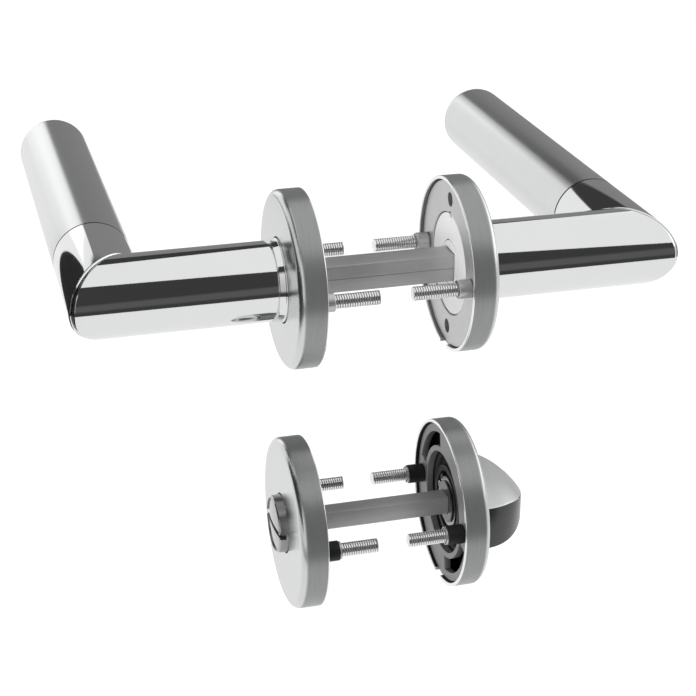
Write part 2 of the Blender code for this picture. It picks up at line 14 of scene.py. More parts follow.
import bpy
from bpy.props import FloatProperty, FloatVectorProperty, PointerProperty
from mathutils import Matrix, Vector


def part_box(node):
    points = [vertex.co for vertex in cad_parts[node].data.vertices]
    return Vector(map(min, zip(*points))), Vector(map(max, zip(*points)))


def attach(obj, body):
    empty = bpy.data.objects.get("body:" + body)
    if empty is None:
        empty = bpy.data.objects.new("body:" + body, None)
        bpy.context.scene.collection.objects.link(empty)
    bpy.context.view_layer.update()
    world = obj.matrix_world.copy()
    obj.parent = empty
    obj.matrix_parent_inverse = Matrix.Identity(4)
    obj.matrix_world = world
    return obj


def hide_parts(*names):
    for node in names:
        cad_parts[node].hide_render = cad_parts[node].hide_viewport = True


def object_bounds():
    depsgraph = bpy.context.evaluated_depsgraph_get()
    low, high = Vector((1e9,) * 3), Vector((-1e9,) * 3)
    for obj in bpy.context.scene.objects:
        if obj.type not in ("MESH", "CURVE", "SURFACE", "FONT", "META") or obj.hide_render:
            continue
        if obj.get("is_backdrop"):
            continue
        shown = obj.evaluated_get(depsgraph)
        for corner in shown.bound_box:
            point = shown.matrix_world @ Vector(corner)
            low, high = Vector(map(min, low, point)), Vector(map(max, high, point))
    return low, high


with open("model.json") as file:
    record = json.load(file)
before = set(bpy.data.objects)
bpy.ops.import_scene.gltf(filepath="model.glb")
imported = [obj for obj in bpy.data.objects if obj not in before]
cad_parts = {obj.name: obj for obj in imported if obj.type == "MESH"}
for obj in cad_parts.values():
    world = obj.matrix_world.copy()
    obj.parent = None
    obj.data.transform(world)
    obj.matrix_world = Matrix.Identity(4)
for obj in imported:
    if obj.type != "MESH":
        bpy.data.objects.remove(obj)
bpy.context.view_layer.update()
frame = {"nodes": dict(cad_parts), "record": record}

bl_info = {
    "name": "Mitred Lever Handle Set",
    "version": (1, 0, 0),
    "blender": (4, 5, 0),
    "location": "3D View > Sidebar > Door Fittings",
    "description": "Models and finishes a pair of door lever handles and their bathroom set",
    "category": "Add Mesh",
}

BODY_OF = {
    node: body
    for body, nodes in frame["record"]["behaviour"]["bodies"].items()
    for node in nodes
}
SLOT_OF = {part["node"]: part["material_slot"] for part in frame["record"]["subparts"]}

# How finely the pieces are modelled
TUBE_STEPS = 128
SMALL_STEPS = 48
THREAD_STEPS = 32
FILLET_STEPS = 6
MITRE_SEGMENTS = 5
FLAT_MARGIN = 0.00012  # keeps smooth shading flat between two fillets
SMOOTH_ANGLE = math.radians(38)
DOUBLES = 1e-6
CUTTER_MARGIN = 0.001


def span(node, axis):
    """(lowest, highest) of a CAD node along one axis."""
    low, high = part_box(node)
    return low[axis], high[axis]


def half_width(node, axis):
    low, high = span(node, axis)
    return (high - low) / 2


DOOR_HALF = span("inner_lever_rose_cover", 0)[0]
ROSE_RADIUS = half_width("inner_lever_rose_cover", 1)
ROSE_DEPTH = span("inner_lever_rose_cover", 0)[1] - DOOR_HALF
BATH_HEIGHT = sum(span("inner_bath_rose_cover", 2)) / 2
PLATE_BACK = span("inner_lever_mount_plate", 0)[0] - DOOR_HALF
PLATE_FRONT = span("inner_lever_mount_plate", 0)[1] - DOOR_HALF
PLATE_RADIUS = half_width("inner_lever_mount_plate", 1)
TUBE_RADIUS = half_width("inner_grip", 2)
GRIP_AXIS = sum(span("inner_grip", 0)) / 2 - DOOR_HALF
GRIP_START, GRIP_END = span("inner_grip", 1)
COLLAR_SPIGOT_END = span("inner_elbow_collar", 1)[1]
CAP_BACK, CAP_FRONT = (x - DOOR_HALF for x in span("inner_bearing_cap", 0))
CAP_RADIUS = half_width("inner_bearing_cap", 1)
INSERT_RADIUS = half_width("inner_drive_insert", 1)
FIXING_CIRCLE = sum(span("inner_lever_stud_back", 1)) / 2
STUD_RADIUS = half_width("inner_lever_stud_back", 2)
STUD_TIP, STUD_SEAT = (x - DOOR_HALF for x in span("inner_lever_stud_back", 0))
LEVER_SPINDLE_HALF = half_width("lever_spindle", 2)
LEVER_SPINDLE_END = span("lever_spindle", 0)[1]
BATH_SPINDLE_HALF = half_width("bath_spindle", 2)
BATH_SPINDLE_END = span("bath_spindle", 0)[1]
CUP_BACK, CUP_FRONT = (x - DOOR_HALF for x in span("inner_bearing_cup", 0))
CUP_RADIUS = half_width("inner_bearing_cup", 1)
SHAFT_BACK = span("thumb_turn", 0)[0] - DOOR_HALF
NECK_BACK = span("inner_neck", 0)[0] - DOOR_HALF
GAP = 0.0003  # between neighbouring pieces, as in the frame
OFF_EDGE = 0.002  # radians that keep a cutter's corners off the edges of a disc
SCREW_HOLE_RADIUS = 0.0021
NICK_RADIUS = 0.0015
SLEEVE_HEAD_RADIUS = 0.0029
SLEEVE_HEAD_HEIGHT = 0.0008
SLEEVE_LIP_LENGTH = 0.0005
SHAFT_WALL = 0.0023  # of the bathroom shafts, round the corners of their socket
SHAFT_RADIUS = (BATH_SPINDLE_HALF + GAP) * math.sqrt(2) + SHAFT_WALL
CIRCLIP_GROOVE = 0.0008  # depth of the groove that a circlip sits in
FINISH_MARGIN = 0.00002  # how far the border between two finishes stays off a face


# ---------------------------------------------------------------- settings


class FittingSizes(bpy.types.PropertyGroup):
    """Sizes that the frame leaves open."""

    rose_fillet: FloatProperty(
        name="Rose Fillet", description="Rounding between face and rim of a rose",
        default=0.0020, unit="LENGTH",
    )
    rose_wall: FloatProperty(
        name="Rose Wall", description="Thickness of a rose cover's sheet",
        default=0.0010, unit="LENGTH",
    )
    notch_width: FloatProperty(
        name="Notch Width", description="Width of the prising notch under a rose",
        default=0.0050, unit="LENGTH",
    )
    notch_depth: FloatProperty(
        name="Notch Depth", description="Depth of the prising notch into the rim",
        default=0.0016, unit="LENGTH",
    )
    mitre_radius: FloatProperty(
        name="Mitre Radius", description="Rounding of each tube's edge at the mitre",
        default=0.0006, unit="LENGTH",
    )
    flare: FloatProperty(
        name="Flare", description="How far the foot of a neck stands proud of its tube",
        default=0.0005, unit="LENGTH",
    )
    flare_length: FloatProperty(
        name="Flare Length", description="Length of that foot in front of the rose",
        default=0.0022, unit="LENGTH",
    )
    grip_end_radius: FloatProperty(
        name="Grip End Radius", description="Rounding of the free end of a grip",
        default=0.0040, unit="LENGTH",
    )
    joint_chamfer: FloatProperty(
        name="Joint Chamfer", description="Chamfer on both sides of the grip joint",
        default=0.00012, unit="LENGTH",
    )
    thread_pitch: FloatProperty(
        name="Thread Pitch", description="Advance of the stud thread in one turn",
        default=0.0007, unit="LENGTH",
    )
    thread_crest: FloatProperty(
        name="Thread Crest", description="Width of a thread's crest, as a share of its pitch",
        default=0.5, min=0.05, max=0.9,
    )
    thread_depth: FloatProperty(
        name="Thread Depth", description="Depth of the stud thread",
        default=0.00038, unit="LENGTH",
    )
    slit_width: FloatProperty(
        name="Slit Width", description="Width of the slit line along the lever spindle",
        default=0.00018, unit="LENGTH",
    )
    kidney_start: FloatProperty(
        name="Slot Start", description="Where a curved slot of the bathroom plate starts",
        default=math.radians(15), subtype="ANGLE",
    )
    kidney_end: FloatProperty(
        name="Slot End", description="Where a curved slot of the bathroom plate ends",
        default=math.radians(80), subtype="ANGLE",
    )
    kidney_half: FloatProperty(
        name="Slot Half Width", description="Half the width of a curved slot",
        default=0.0022, unit="LENGTH",
    )
    dome_radius: FloatProperty(
        name="Dome Radius", description="Radius of the release dome at the rose",
        default=0.0087, unit="LENGTH",
    )
    dome_set_back: FloatProperty(
        name="Dome Set Back", description="How far the dome's top stays inside its frame",
        default=0.0012, unit="LENGTH",
    )
    slot_width: FloatProperty(
        name="Coin Slot Width", description="Width of the coin slot in the dome",
        default=0.0016, unit="LENGTH",
    )
    slot_depth: FloatProperty(
        name="Coin Slot Depth", description="Depth of the coin slot at its middle",
        default=0.0023, unit="LENGTH",
    )
    turn_tip_half: FloatProperty(
        name="Turn Tip Half", description="Half the thickness of the thumb turn at its tip",
        default=0.0027, unit="LENGTH",
    )
    turn_taper: FloatProperty(
        name="Turn Taper", description="How late the thumb turn thins towards its tip",
        default=3.2, min=1.0,
    )


class FinishSettings(bpy.types.PropertyGroup):
    """Colours and polish of the finishes."""

    polished: FloatVectorProperty(
        name="Polished Steel", description="Colour of the mirror polished steel",
        default=(0.76, 0.765, 0.765), subtype="COLOR", size=3, min=0, max=1,
    )
    polished_roughness: FloatProperty(
        name="Polish Roughness", description="Roughness of the mirror polish",
        default=0.055, subtype="FACTOR", min=0, max=1,
    )
    satin_tube: FloatVectorProperty(
        name="Satin Tube", description="Colour of the ground grips",
        default=(0.66, 0.672, 0.665), subtype="COLOR", size=3, min=0, max=1,
    )
    satin_tube_roughness: FloatProperty(
        name="Satin Tube Roughness", description="Roughness of the ground grips",
        default=0.21, subtype="FACTOR", min=0, max=1,
    )
    satin_face: FloatVectorProperty(
        name="Satin Face", description="Colour of the rose faces",
        default=(0.66, 0.67, 0.665), subtype="COLOR", size=3, min=0, max=1,
    )
    # Painted shade: a darker copy of the steel for the rose rims, and darker still for the thumb
    # turn's wall
    shaded_rim_colour: FloatVectorProperty(
        name="Satin Rim", description="Colour of the rose rims, which are ground across",
        default=(0.30, 0.305, 0.305), subtype="COLOR", size=3, min=0, max=1,
    )
    satin_roughness: FloatProperty(
        name="Satin Roughness", description="Roughness of the roses",
        default=0.27, subtype="FACTOR", min=0, max=1,
    )
    zinc: FloatVectorProperty(
        name="Zinc Plate", description="Colour of the lever mounting plates",
        default=(0.60, 0.60, 0.60), subtype="COLOR", size=3, min=0, max=1,
    )
    grey_casting: FloatVectorProperty(
        name="Grey Casting", description="Colour of the bathroom mounting plates",
        default=(0.26, 0.26, 0.26), subtype="COLOR", size=3, min=0, max=1,
    )
    bright_zinc: FloatVectorProperty(
        name="Bright Zinc", description="Colour of the threaded studs",
        default=(0.86, 0.86, 0.86), subtype="COLOR", size=3, min=0, max=1,
    )
    spindle: FloatVectorProperty(
        name="Drawn Bar", description="Colour of the spindles",
        default=(0.43, 0.43, 0.432), subtype="COLOR", size=3, min=0, max=1,
    )
    spring: FloatVectorProperty(
        name="Spring Steel", description="Colour of springs, circlips and screws",
        default=(0.33, 0.33, 0.34), subtype="COLOR", size=3, min=0, max=1,
    )
    nylon: FloatVectorProperty(
        name="White Nylon", description="Colour of the lever bearings",
        default=(0.84, 0.84, 0.835), subtype="COLOR", size=3, min=0, max=1,
    )
    black_plastic: FloatVectorProperty(
        name="Black Plastic", description="Colour of the bathroom bearings and sleeves",
        default=(0.012, 0.012, 0.012), subtype="COLOR", size=3, min=0, max=1,
    )


class StudioSettings(bpy.types.PropertyGroup):
    """The floor, the soft boxes and the camera."""

    floor_glow: FloatProperty(
        name="Floor Glow", description="Light that the floor gives of itself",
        default=0.9, min=0,
    )
    top_light: FloatProperty(
        name="Top Light", description="Brightness of the sloping soft box", default=0.94, min=0,
    )
    back_light: FloatProperty(
        name="Back Light", description="Brightness of the upright soft box", default=1.02, min=0,
    )
    back_core: FloatProperty(
        name="Back Core", description="Brightness of that soft box's middle", default=1.4, min=0,
    )
    side_light: FloatProperty(
        name="Side Light", description="Brightness of the room to the left", default=0.8, min=0,
    )
    floor_light: FloatProperty(
        name="Floor Light", description="Brightness of the floor as the metal sees it",
        default=0.97, min=0,
    )
    floor_line: FloatProperty(
        name="Floor Line", description="Sine of the height at which the floor ends", default=-0.33,
    )
    floor_tilt: FloatProperty(
        name="Floor Tilt", description="How much higher the floor ends behind", default=0.12,
    )
    wall_light: FloatProperty(
        name="Wall Light", description="Brightness of the grey wall behind", default=0.26, min=0,
    )
    room_light: FloatProperty(
        name="Room Light", description="Brightness of the dark room around", default=0.05, min=0,
    )
    fill_light: FloatProperty(
        name="Fill Light", description="Brightness of the matt fill from the left",
        default=3.2, min=0,
    )
    camera_place: FloatVectorProperty(
        name="Camera Place", description="Where the camera stands",
        default=(-0.12483, -0.42833, 0.17549), subtype="TRANSLATION", size=3,
    )
    camera_turn: FloatVectorProperty(
        name="Camera Turn", description="Azimuth, elevation and roll of the camera",
        default=(math.radians(14.3006), math.radians(-21.8535), math.radians(-0.2102)),
        subtype="EULER", size=3,
    )
    camera_shift: FloatVectorProperty(
        name="Camera Shift", description="Shift of the frame to the right and up, as shares of it",
        default=(0.03565, -0.09547), size=2,
    )
    lens: FloatProperty(name="Lens", description="Focal length in millimetres", default=86.99)


# ---------------------------------------------------------------- modelling helpers


def select_only(*objects):
    bpy.ops.object.select_all(action="DESELECT")
    for obj in objects:
        obj.select_set(True)
    bpy.context.view_layer.objects.active = objects[0]


def apply_place(obj):
    select_only(obj)
    bpy.ops.object.transform_apply(location=True, rotation=True, scale=True)
    return obj


def edit(obj):
    """Goes into edit mode on one object with all of it selected."""
    select_only(obj)
    bpy.ops.object.mode_set(mode="EDIT")
    bpy.ops.mesh.select_all(action="SELECT")


def leave_edit():
    bpy.ops.object.mode_set(mode="OBJECT")


def tidy_mesh(obj):
    """Merges doubles and turns all faces outwards."""
    edit(obj)
    bpy.ops.mesh.remove_doubles(threshold=DOUBLES)
    bpy.ops.mesh.normals_make_consistent(inside=False)
    leave_edit()
    return obj


def modify(obj, kind, **settings):
    """Adds a modifier, sets it up and applies it."""
    select_only(obj)
    bpy.ops.object.modifier_add(type=kind)
    modifier = obj.modifiers[-1]
    for name, value in settings.items():
        setattr(modifier, name, value)
    bpy.ops.object.modifier_apply(modifier=modifier.name)
    return obj


def combine(obj, others, operation):
    """Cuts other shapes from a piece, or joins them to it, and removes them."""
    for other in others:
        modify(obj, "BOOLEAN", operation=operation, solver="EXACT", object=other)
        select_only(other)
        bpy.ops.object.delete()
    return obj


def bevelled(obj, width, angle=math.radians(50), segments=2):
    return modify(
        obj, "BEVEL", width=width, segments=segments, limit_method="ANGLE", angle_limit=angle
    )


def smooth(obj):
    select_only(obj)
    bpy.ops.object.shade_smooth_by_angle(angle=SMOOTH_ANGLE)
    return obj


def fillet(centre, radius, start, end, steps=FILLET_STEPS):
    """Rings of an arc, its angles in degrees from the X axis towards larger radii."""
    rings = []
    for step in range(steps + 1):
        angle = math.radians(start + (end - start) * step / steps)
        rings.append((centre[0] + radius * math.cos(angle), centre[1] + radius * math.sin(angle)))
    return rings


def supported(rings):
    """Adds a ring near both ends of every long run."""
    result = [rings[0]]
    for (x0, r0), (x1, r1) in zip(rings, rings[1:]):
        length = math.hypot(x1 - x0, r1 - r0)
        if length > 5 * FLAT_MARGIN:
            for share in (FLAT_MARGIN / length, 1 - FLAT_MARGIN / length):
                result.append((x0 + (x1 - x0) * share, r0 + (r1 - r0) * share))
        result.append((x1, r1))
    return result


def turned(name, rings, steps=TUBE_STEPS, ring_shaped=False):
    """Draws a circle out along X through rings of (distance, radius).

    A ring-shaped piece is closed back onto its first ring, any other has flat ends.
    """
    if ring_shaped:
        rings = [*rings, rings[0]]
    rings = supported(rings)
    bpy.ops.object.select_all(action="DESELECT")
    bpy.ops.mesh.primitive_circle_add(
        vertices=steps, radius=rings[0][1],
        location=(rings[0][0], 0, 0), rotation=(0, math.pi / 2, 0),
    )
    obj = bpy.context.object
    obj.name = name
    apply_place(obj)
    edit(obj)
    for (x0, r0), (x1, r1) in zip(rings, rings[1:]):
        bpy.ops.mesh.extrude_region_move(TRANSFORM_OT_translate={"value": (x1 - x0, 0, 0)})
        if abs(r1 - r0) > DOUBLES:
            share = r1 / r0
            bpy.ops.transform.resize(value=(1, share, share), center_override=(x1, 0, 0))
    bpy.ops.mesh.select_all(action="SELECT")
    bpy.ops.mesh.remove_doubles(threshold=DOUBLES)
    if not ring_shaped:
        bpy.ops.mesh.fill_holes(sides=0)
    leave_edit()
    return tidy_mesh(obj)


def block(name, low, high):
    """A box between two corners, for cutting and for bars."""
    bpy.ops.object.select_all(action="DESELECT")
    centre = [(a + b) / 2 for a, b in zip(low, high)]
    size = [b - a for a, b in zip(low, high)]
    bpy.ops.mesh.primitive_cube_add(size=1, location=centre, scale=size)
    obj = bpy.context.object
    obj.name = name
    return apply_place(obj)


def peg(low, high, radius, place, steps=SMALL_STEPS):
    """A round cutter along X, with its axis through (y, z)."""
    bpy.ops.object.select_all(action="DESELECT")
    bpy.ops.mesh.primitive_cylinder_add(
        vertices=steps, radius=radius, depth=high - low,
        location=((low + high) / 2, *place), rotation=(0, math.pi / 2, 0),
    )
    return apply_place(bpy.context.object)


def on_circle(angle, radius=FIXING_CIRCLE):
    return radius * math.cos(angle), radius * math.sin(angle)


def duplicate(obj, name):
    select_only(obj)
    bpy.ops.object.duplicate(linked=False)
    copy = bpy.context.object
    copy.name = name
    return copy


def place(obj, side, height=0.0, mirrored=False, offset=0.0):
    """Takes a piece from its side's own frame to its place on one side of the door."""
    if side == "outer" and mirrored:
        obj.scale.x = -1
    elif side == "outer":
        obj.rotation_euler.z = math.pi
    reach = DOOR_HALF if side == "inner" else -DOOR_HALF
    obj.location = (reach, offset, height)
    apply_place(obj)
    return tidy_mesh(obj)


def two_finishes(obj, first, second, is_second):
    """Gives a piece two finishes; is_second tells from a face which one it gets."""
    for name in (first, second):
        obj.data.materials.append(finish_of(name))
    for face in obj.data.polygons:
        face.material_index = int(is_second(face))


def stand_for(obj, node):
    """Names the finished piece, gives it its finish and lets it stand for its CAD node."""
    obj.name = f"{node}_finished"
    obj.data.name = obj.name
    if not obj.data.materials:
        obj.data.materials.append(finish_of(SLOT_OF[node]))
    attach(obj, BODY_OF[node])
    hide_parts(node)
    return obj


def both_sides(obj, node, height=0.0, mirrored=False):
    """Places a piece on the inner side and a copy of it on the outer side."""
    copy = duplicate(obj, "copy")
    for piece, side in ((obj, "inner"), (copy, "outer")):
        place(piece, side, height, mirrored)
        stand_for(smooth(piece), f"{side}_{node}")


# ---------------------------------------------------------------- materials


class Wire:
    """A value on its way through a material's nodes, so that its maths reads as Python."""

    def __init__(self, look, socket):
        self.look = look
        self.socket = socket

    def maths(self, operation, first, second):
        return self.look.node("ShaderNodeMath", {"operation": operation}, {0: first, 1: second})

    def __add__(self, other):
        return self.maths("ADD", self, other)

    __radd__ = __add__

    def __sub__(self, other):
        return self.maths("SUBTRACT", self, other)

    def __rsub__(self, other):
        return self.maths("SUBTRACT", other, self)

    def __mul__(self, other):
        return self.maths("MULTIPLY", self, other)

    __rmul__ = __mul__


class Look:
    """One material under construction."""

    def __init__(self, name):
        self.material = bpy.data.materials.new(name)
        self.material.use_nodes = True
        self.tree = self.material.node_tree
        self.shader = self.tree.nodes["Principled BSDF"]

    @classmethod
    def of_tree(cls, tree):
        """Only the node maths, on a tree that is there already."""
        look = cls.__new__(cls)
        look.tree = tree
        return look

    def link(self, value, socket):
        if isinstance(value, Wire):
            self.tree.links.new(value.socket, socket)
        else:
            socket.default_value = value

    def node(self, kind, settings, inputs, output=0):
        """Adds a node: its settings first, then the values or links of its sockets."""
        node = self.tree.nodes.new(kind)
        for name, value in settings.items():
            setattr(node, name, value)
        for name, value in inputs.items():
            self.link(value, node.inputs[name])
        return Wire(self, node.outputs[output])

    def place(self, output="Object"):
        return self.node("ShaderNodeTexCoord", {}, {}, output=output)

    def stretched(self, scale):
        """Object coordinates stretched by a scale in each direction."""
        return self.node("ShaderNodeMapping", {}, {"Vector": self.place(), "Scale": scale})

    def noise(self, vector, detail=2.0, roughness=0.5):
        settings = {"noise_dimensions": "3D"}
        inputs = {"Vector": vector, "Scale": 1.0, "Detail": detail, "Roughness": roughness}
        return self.node("ShaderNodeTexNoise", settings, inputs, output="Fac")

    def mix(self, share, first, second):
        settings = {"data_type": "RGBA"}
        inputs = {"Factor": share, 6: first, 7: second}
        return self.node("ShaderNodeMix", settings, inputs, output=2)

    def ramp(self, value, low, high):
        """0 below low, 1 above high and smooth between."""
        settings = {"interpolation_type": "SMOOTHSTEP"}
        inputs = {"Value": value, "From Min": low, "From Max": high}
        return self.node("ShaderNodeMapRange", settings, inputs)

    def bump(self, height, distance, strength=1.0):
        inputs = {"Height": height, "Distance": distance, "Strength": strength}
        return self.node("ShaderNodeBump", {}, inputs, output="Normal")

    def finish(self, metallic, **sockets):
        """Fills the shader's sockets, with spaces of their names written as underscores."""
        self.link(metallic, self.shader.inputs["Metallic"])
        for name, value in sockets.items():
            self.link(value, self.shader.inputs[name.replace("_", " ")])
        return self.material


def shade(colour, factor):
    return (*(min(1.0, part * factor) for part in colour), 1)


def polished_steel(finishes):
    look = Look("polished_steel")
    cloud = look.noise(look.stretched((60, 60, 60)), detail=3)
    wipes = look.noise(look.stretched((300, 300, 2500)), detail=2)
    colour = look.mix(cloud, shade(finishes.polished, 0.97), shade(finishes.polished, 1.02))
    base = finishes.polished_roughness
    return look.finish(
        1.0,
        Base_Color=colour,
        Roughness=(base - 0.015) + cloud * 0.02 + wipes * 0.01,
        Normal=look.bump(wipes, 2e-7),
    )


def satin_tube(finishes):
    """Ground round the tube, so its grain is fine along the grip and long across it."""
    look = Look("satin_tube")
    grain = look.noise(look.stretched((120, 5200, 120)), detail=3, roughness=0.6)
    cloud = look.noise(look.stretched((45, 45, 45)), detail=2)
    tone = look.ramp(grain * 0.75 + cloud * 0.25, 0.25, 0.75)
    colour = look.mix(tone, shade(finishes.satin_tube, 0.955), shade(finishes.satin_tube, 1.03))
    base = finishes.satin_tube_roughness
    return look.finish(
        1.0,
        Base_Color=colour,
        Roughness=(base - 0.03) + grain * 0.04 + cloud * 0.02,
        Normal=look.bump(grain, 1.2e-6),
    )


def satin(finishes, name, rim_share):
    """Satin steel. rim_share takes the material and gives 0 for a face, 1 for a rim. The rim's
    darker colour is painted shade and the cut edge's brighter colour is a painted highlight.
    """
    look = Look(name)
    grain = look.noise(look.stretched((90, 4200, 90)), detail=3, roughness=0.6)
    cross = look.noise(look.stretched((5200, 90, 90)), detail=3, roughness=0.6)
    cloud = look.noise(look.stretched((50, 50, 50)), detail=2)
    rim, cut = rim_share(look)
    tone = look.ramp(grain * 0.7 + cloud * 0.3, 0.25, 0.75)
    face = look.mix(tone, shade(finishes.satin_face, 0.965), shade(finishes.satin_face, 1.02))
    edge_tone = look.ramp(cross, 0.3, 0.7)
    # painted shade: the rim colour is a darker copy of the face's steel, over its real cross grain
    edge = look.mix(edge_tone, shade(finishes.shaded_rim_colour, 0.93), shade(finishes.shaded_rim_colour, 1.05))
    # painted highlight: the cut edge at the door gets a colour brighter than the steel
    colour = look.mix(cut, look.mix(rim, face, edge), shade(finishes.polished, 1.15))
    base = finishes.satin_roughness
    return look.finish(
        1 - rim * 0.35 * (1 - cut),
        Base_Color=colour,
        Roughness=(base - 0.03) + grain * 0.05 + rim * 0.06 - cut * 0.15,
        Normal=look.bump(grain * (1 - rim) + cross * rim, 1.5e-6),
    )


def satin_steel(finishes):
    """Satin faces, rims ground across and darkened with a painted shade, and smoother cut edges at
    the door that carry a painted highlight.
    """

    def rim_share(look):
        split = look.node("ShaderNodeSeparateXYZ", {}, {0: look.place()}, output="X")
        reach = look.node("ShaderNodeMath", {"operation": "ABSOLUTE"}, {0: split})
        face_at = DOOR_HALF + ROSE_DEPTH
        rim = 1 - look.ramp(reach, face_at - 0.0019, face_at - 0.0011)
        cut = 1 - look.ramp(reach, DOOR_HALF + 0.00025, DOOR_HALF + 0.0004)
        return rim, cut

    return satin(finishes, "satin_steel", rim_share)


def satin_turn_painted_light(finishes):
    """The broad faces of the thumb turn: a brighter copy of the satin steel, as painted light."""
    look = Look("satin_turn_painted_light")
    grain = look.noise(look.stretched((90, 4200, 90)), detail=3, roughness=0.6)
    cloud = look.noise(look.stretched((50, 50, 50)), detail=2)
    tone = look.ramp(grain * 0.7 + cloud * 0.3, 0.25, 0.75)
    colour = look.mix(tone, shade(finishes.satin_face, 1.28), shade(finishes.satin_face, 1.36))
    return look.finish(
        0.65, Base_Color=colour, Roughness=(finishes.satin_roughness + 0.03) + grain * 0.05,
        Normal=look.bump(grain, 1.5e-6),
    )


def satin_edge_painted_shade(finishes):
    """The wall round the thumb turn and its stem: a much darker copy of the steel, as painted
    shade, with a grain across like the rims.
    """
    look = Look("satin_edge_painted_shade")
    cross = look.noise(look.stretched((90, 90, 4200)), detail=3, roughness=0.6)
    tone = look.ramp(cross, 0.3, 0.7)
    colour = look.mix(tone, shade(finishes.shaded_rim_colour, 0.24), shade(finishes.shaded_rim_colour, 0.28))
    return look.finish(
        0.8, Base_Color=colour, Roughness=0.24 + cross * 0.06, Normal=look.bump(cross, 1.5e-6)
    )


def zinc_plate(finishes):
    look = Look("zinc_plate")
    speckle = look.noise(look.stretched((1800, 1800, 1800)), detail=3, roughness=0.6)
    cloud = look.noise(look.stretched((110, 110, 110)), detail=3)
    tone = look.ramp(speckle * 0.5 + cloud * 0.5, 0.3, 0.7)
    colour = look.mix(tone, shade(finishes.zinc, 0.9), shade(finishes.zinc, 1.06))
    return look.finish(
        0.9, Base_Color=colour, Roughness=0.36 + cloud * 0.12, Normal=look.bump(speckle, 6e-6)
    )


def grey_casting(finishes):
    look = Look("grey_plate")
    speckle = look.noise(look.stretched((1500, 1500, 1500)), detail=4, roughness=0.65)
    cloud = look.noise(look.stretched((90, 90, 90)), detail=2)
    tone = look.ramp(speckle * 0.6 + cloud * 0.4, 0.3, 0.7)
    colour = look.mix(tone, shade(finishes.grey_casting, 0.85), shade(finishes.grey_casting, 1.1))
    return look.finish(
        0.55, Base_Color=colour, Roughness=0.42 + cloud * 0.14, Normal=look.bump(speckle, 1.2e-5)
    )


def bright_zinc(finishes):
    look = Look("bright_zinc")
    speckle = look.noise(look.stretched((2600, 2600, 2600)), detail=2)
    colour = look.mix(speckle, shade(finishes.bright_zinc, 0.9), shade(finishes.bright_zinc, 1.08))
    return look.finish(
        1.0, Base_Color=colour, Roughness=0.16 + speckle * 0.1, Normal=look.bump(speckle, 3e-6)
    )


def drawn_bar(finishes):
    """Drawn along X, with fine lines in that direction."""
    look = Look("spindle_steel")
    lines = look.noise(look.stretched((60, 3600, 3600)), detail=3, roughness=0.6)
    cloud = look.noise(look.stretched((70, 70, 70)), detail=3)
    tone = look.ramp(lines * 0.6 + cloud * 0.4, 0.3, 0.7)
    colour = look.mix(tone, shade(finishes.spindle, 0.9), shade(finishes.spindle, 1.07))
    return look.finish(
        0.45, Base_Color=colour, Roughness=0.36 + lines * 0.1, Normal=look.bump(lines, 4e-6)
    )


def dome_steel_painted_shade(finishes):
    """The release dome: turned and polished, with a darker copy of the levers' steel as painted
    shade.
    """
    look = Look("dome_steel_painted_shade")
    cloud = look.noise(look.stretched((200, 200, 200)), detail=2)
    colour = look.mix(cloud, shade(finishes.polished, 0.54), shade(finishes.polished, 0.6))
    return look.finish(1.0, Base_Color=colour, Roughness=0.12 + cloud * 0.04)


def spring_steel(finishes):
    look = Look("spring_steel")
    cloud = look.noise(look.stretched((400, 400, 400)), detail=3)
    colour = look.mix(cloud, shade(finishes.spring, 0.8), shade(finishes.spring, 1.15))
    return look.finish(
        1.0, Base_Color=colour, Roughness=0.24 + cloud * 0.14, Normal=look.bump(cloud, 3e-6)
    )


def white_nylon(finishes):
    look = Look("white_nylon")
    speckle = look.noise(look.stretched((1200, 1200, 1200)), detail=2)
    cloud = look.noise(look.stretched((80, 80, 80)), detail=2)
    colour = look.mix(cloud, shade(finishes.nylon, 0.97), shade(finishes.nylon, 1.02))
    return look.finish(
        0.0, Base_Color=colour, Roughness=0.34 + speckle * 0.1, Normal=look.bump(speckle, 4e-6)
    )


def black_plastic(finishes):
    look = Look("black_plastic")
    speckle = look.noise(look.stretched((1600, 1600, 1600)), detail=3)
    cloud = look.noise(look.stretched((120, 120, 120)), detail=2)
    colour = look.mix(cloud, shade(finishes.black_plastic, 0.8), shade(finishes.black_plastic, 1.4))
    return look.finish(
        0.0, Base_Color=colour, Roughness=0.42 + speckle * 0.14, Normal=look.bump(speckle, 5e-6),
        Specular_IOR_Level=0.25,
    )


FINISHES = {
    "polished_steel": polished_steel,
    "satin_tube": satin_tube,
    "satin_steel": satin_steel,
    "satin_turn_painted_light": satin_turn_painted_light,
    "satin_edge_painted_shade": satin_edge_painted_shade,
    "dome_steel_painted_shade": dome_steel_painted_shade,
    "zinc_plate": zinc_plate,
    "grey_plate": grey_casting,
    "bright_zinc": bright_zinc,
    "spindle_steel": drawn_bar,
    "spring_steel": spring_steel,
    "white_nylon": white_nylon,
    "black_plastic": black_plastic,
}


def finish_of(slot):
    """The finish of a material slot, made when it is first asked for."""
    found = bpy.data.materials.get(slot)
    if found is None or not found.get("made_here"):
        if found is not None:
            found.name = f"{slot}_frame"
        found = FINISHES[slot](bpy.context.scene.fitting_finishes)
        found.name = slot
        found["made_here"] = True
    return found


# ---------------------------------------------------------------- pieces


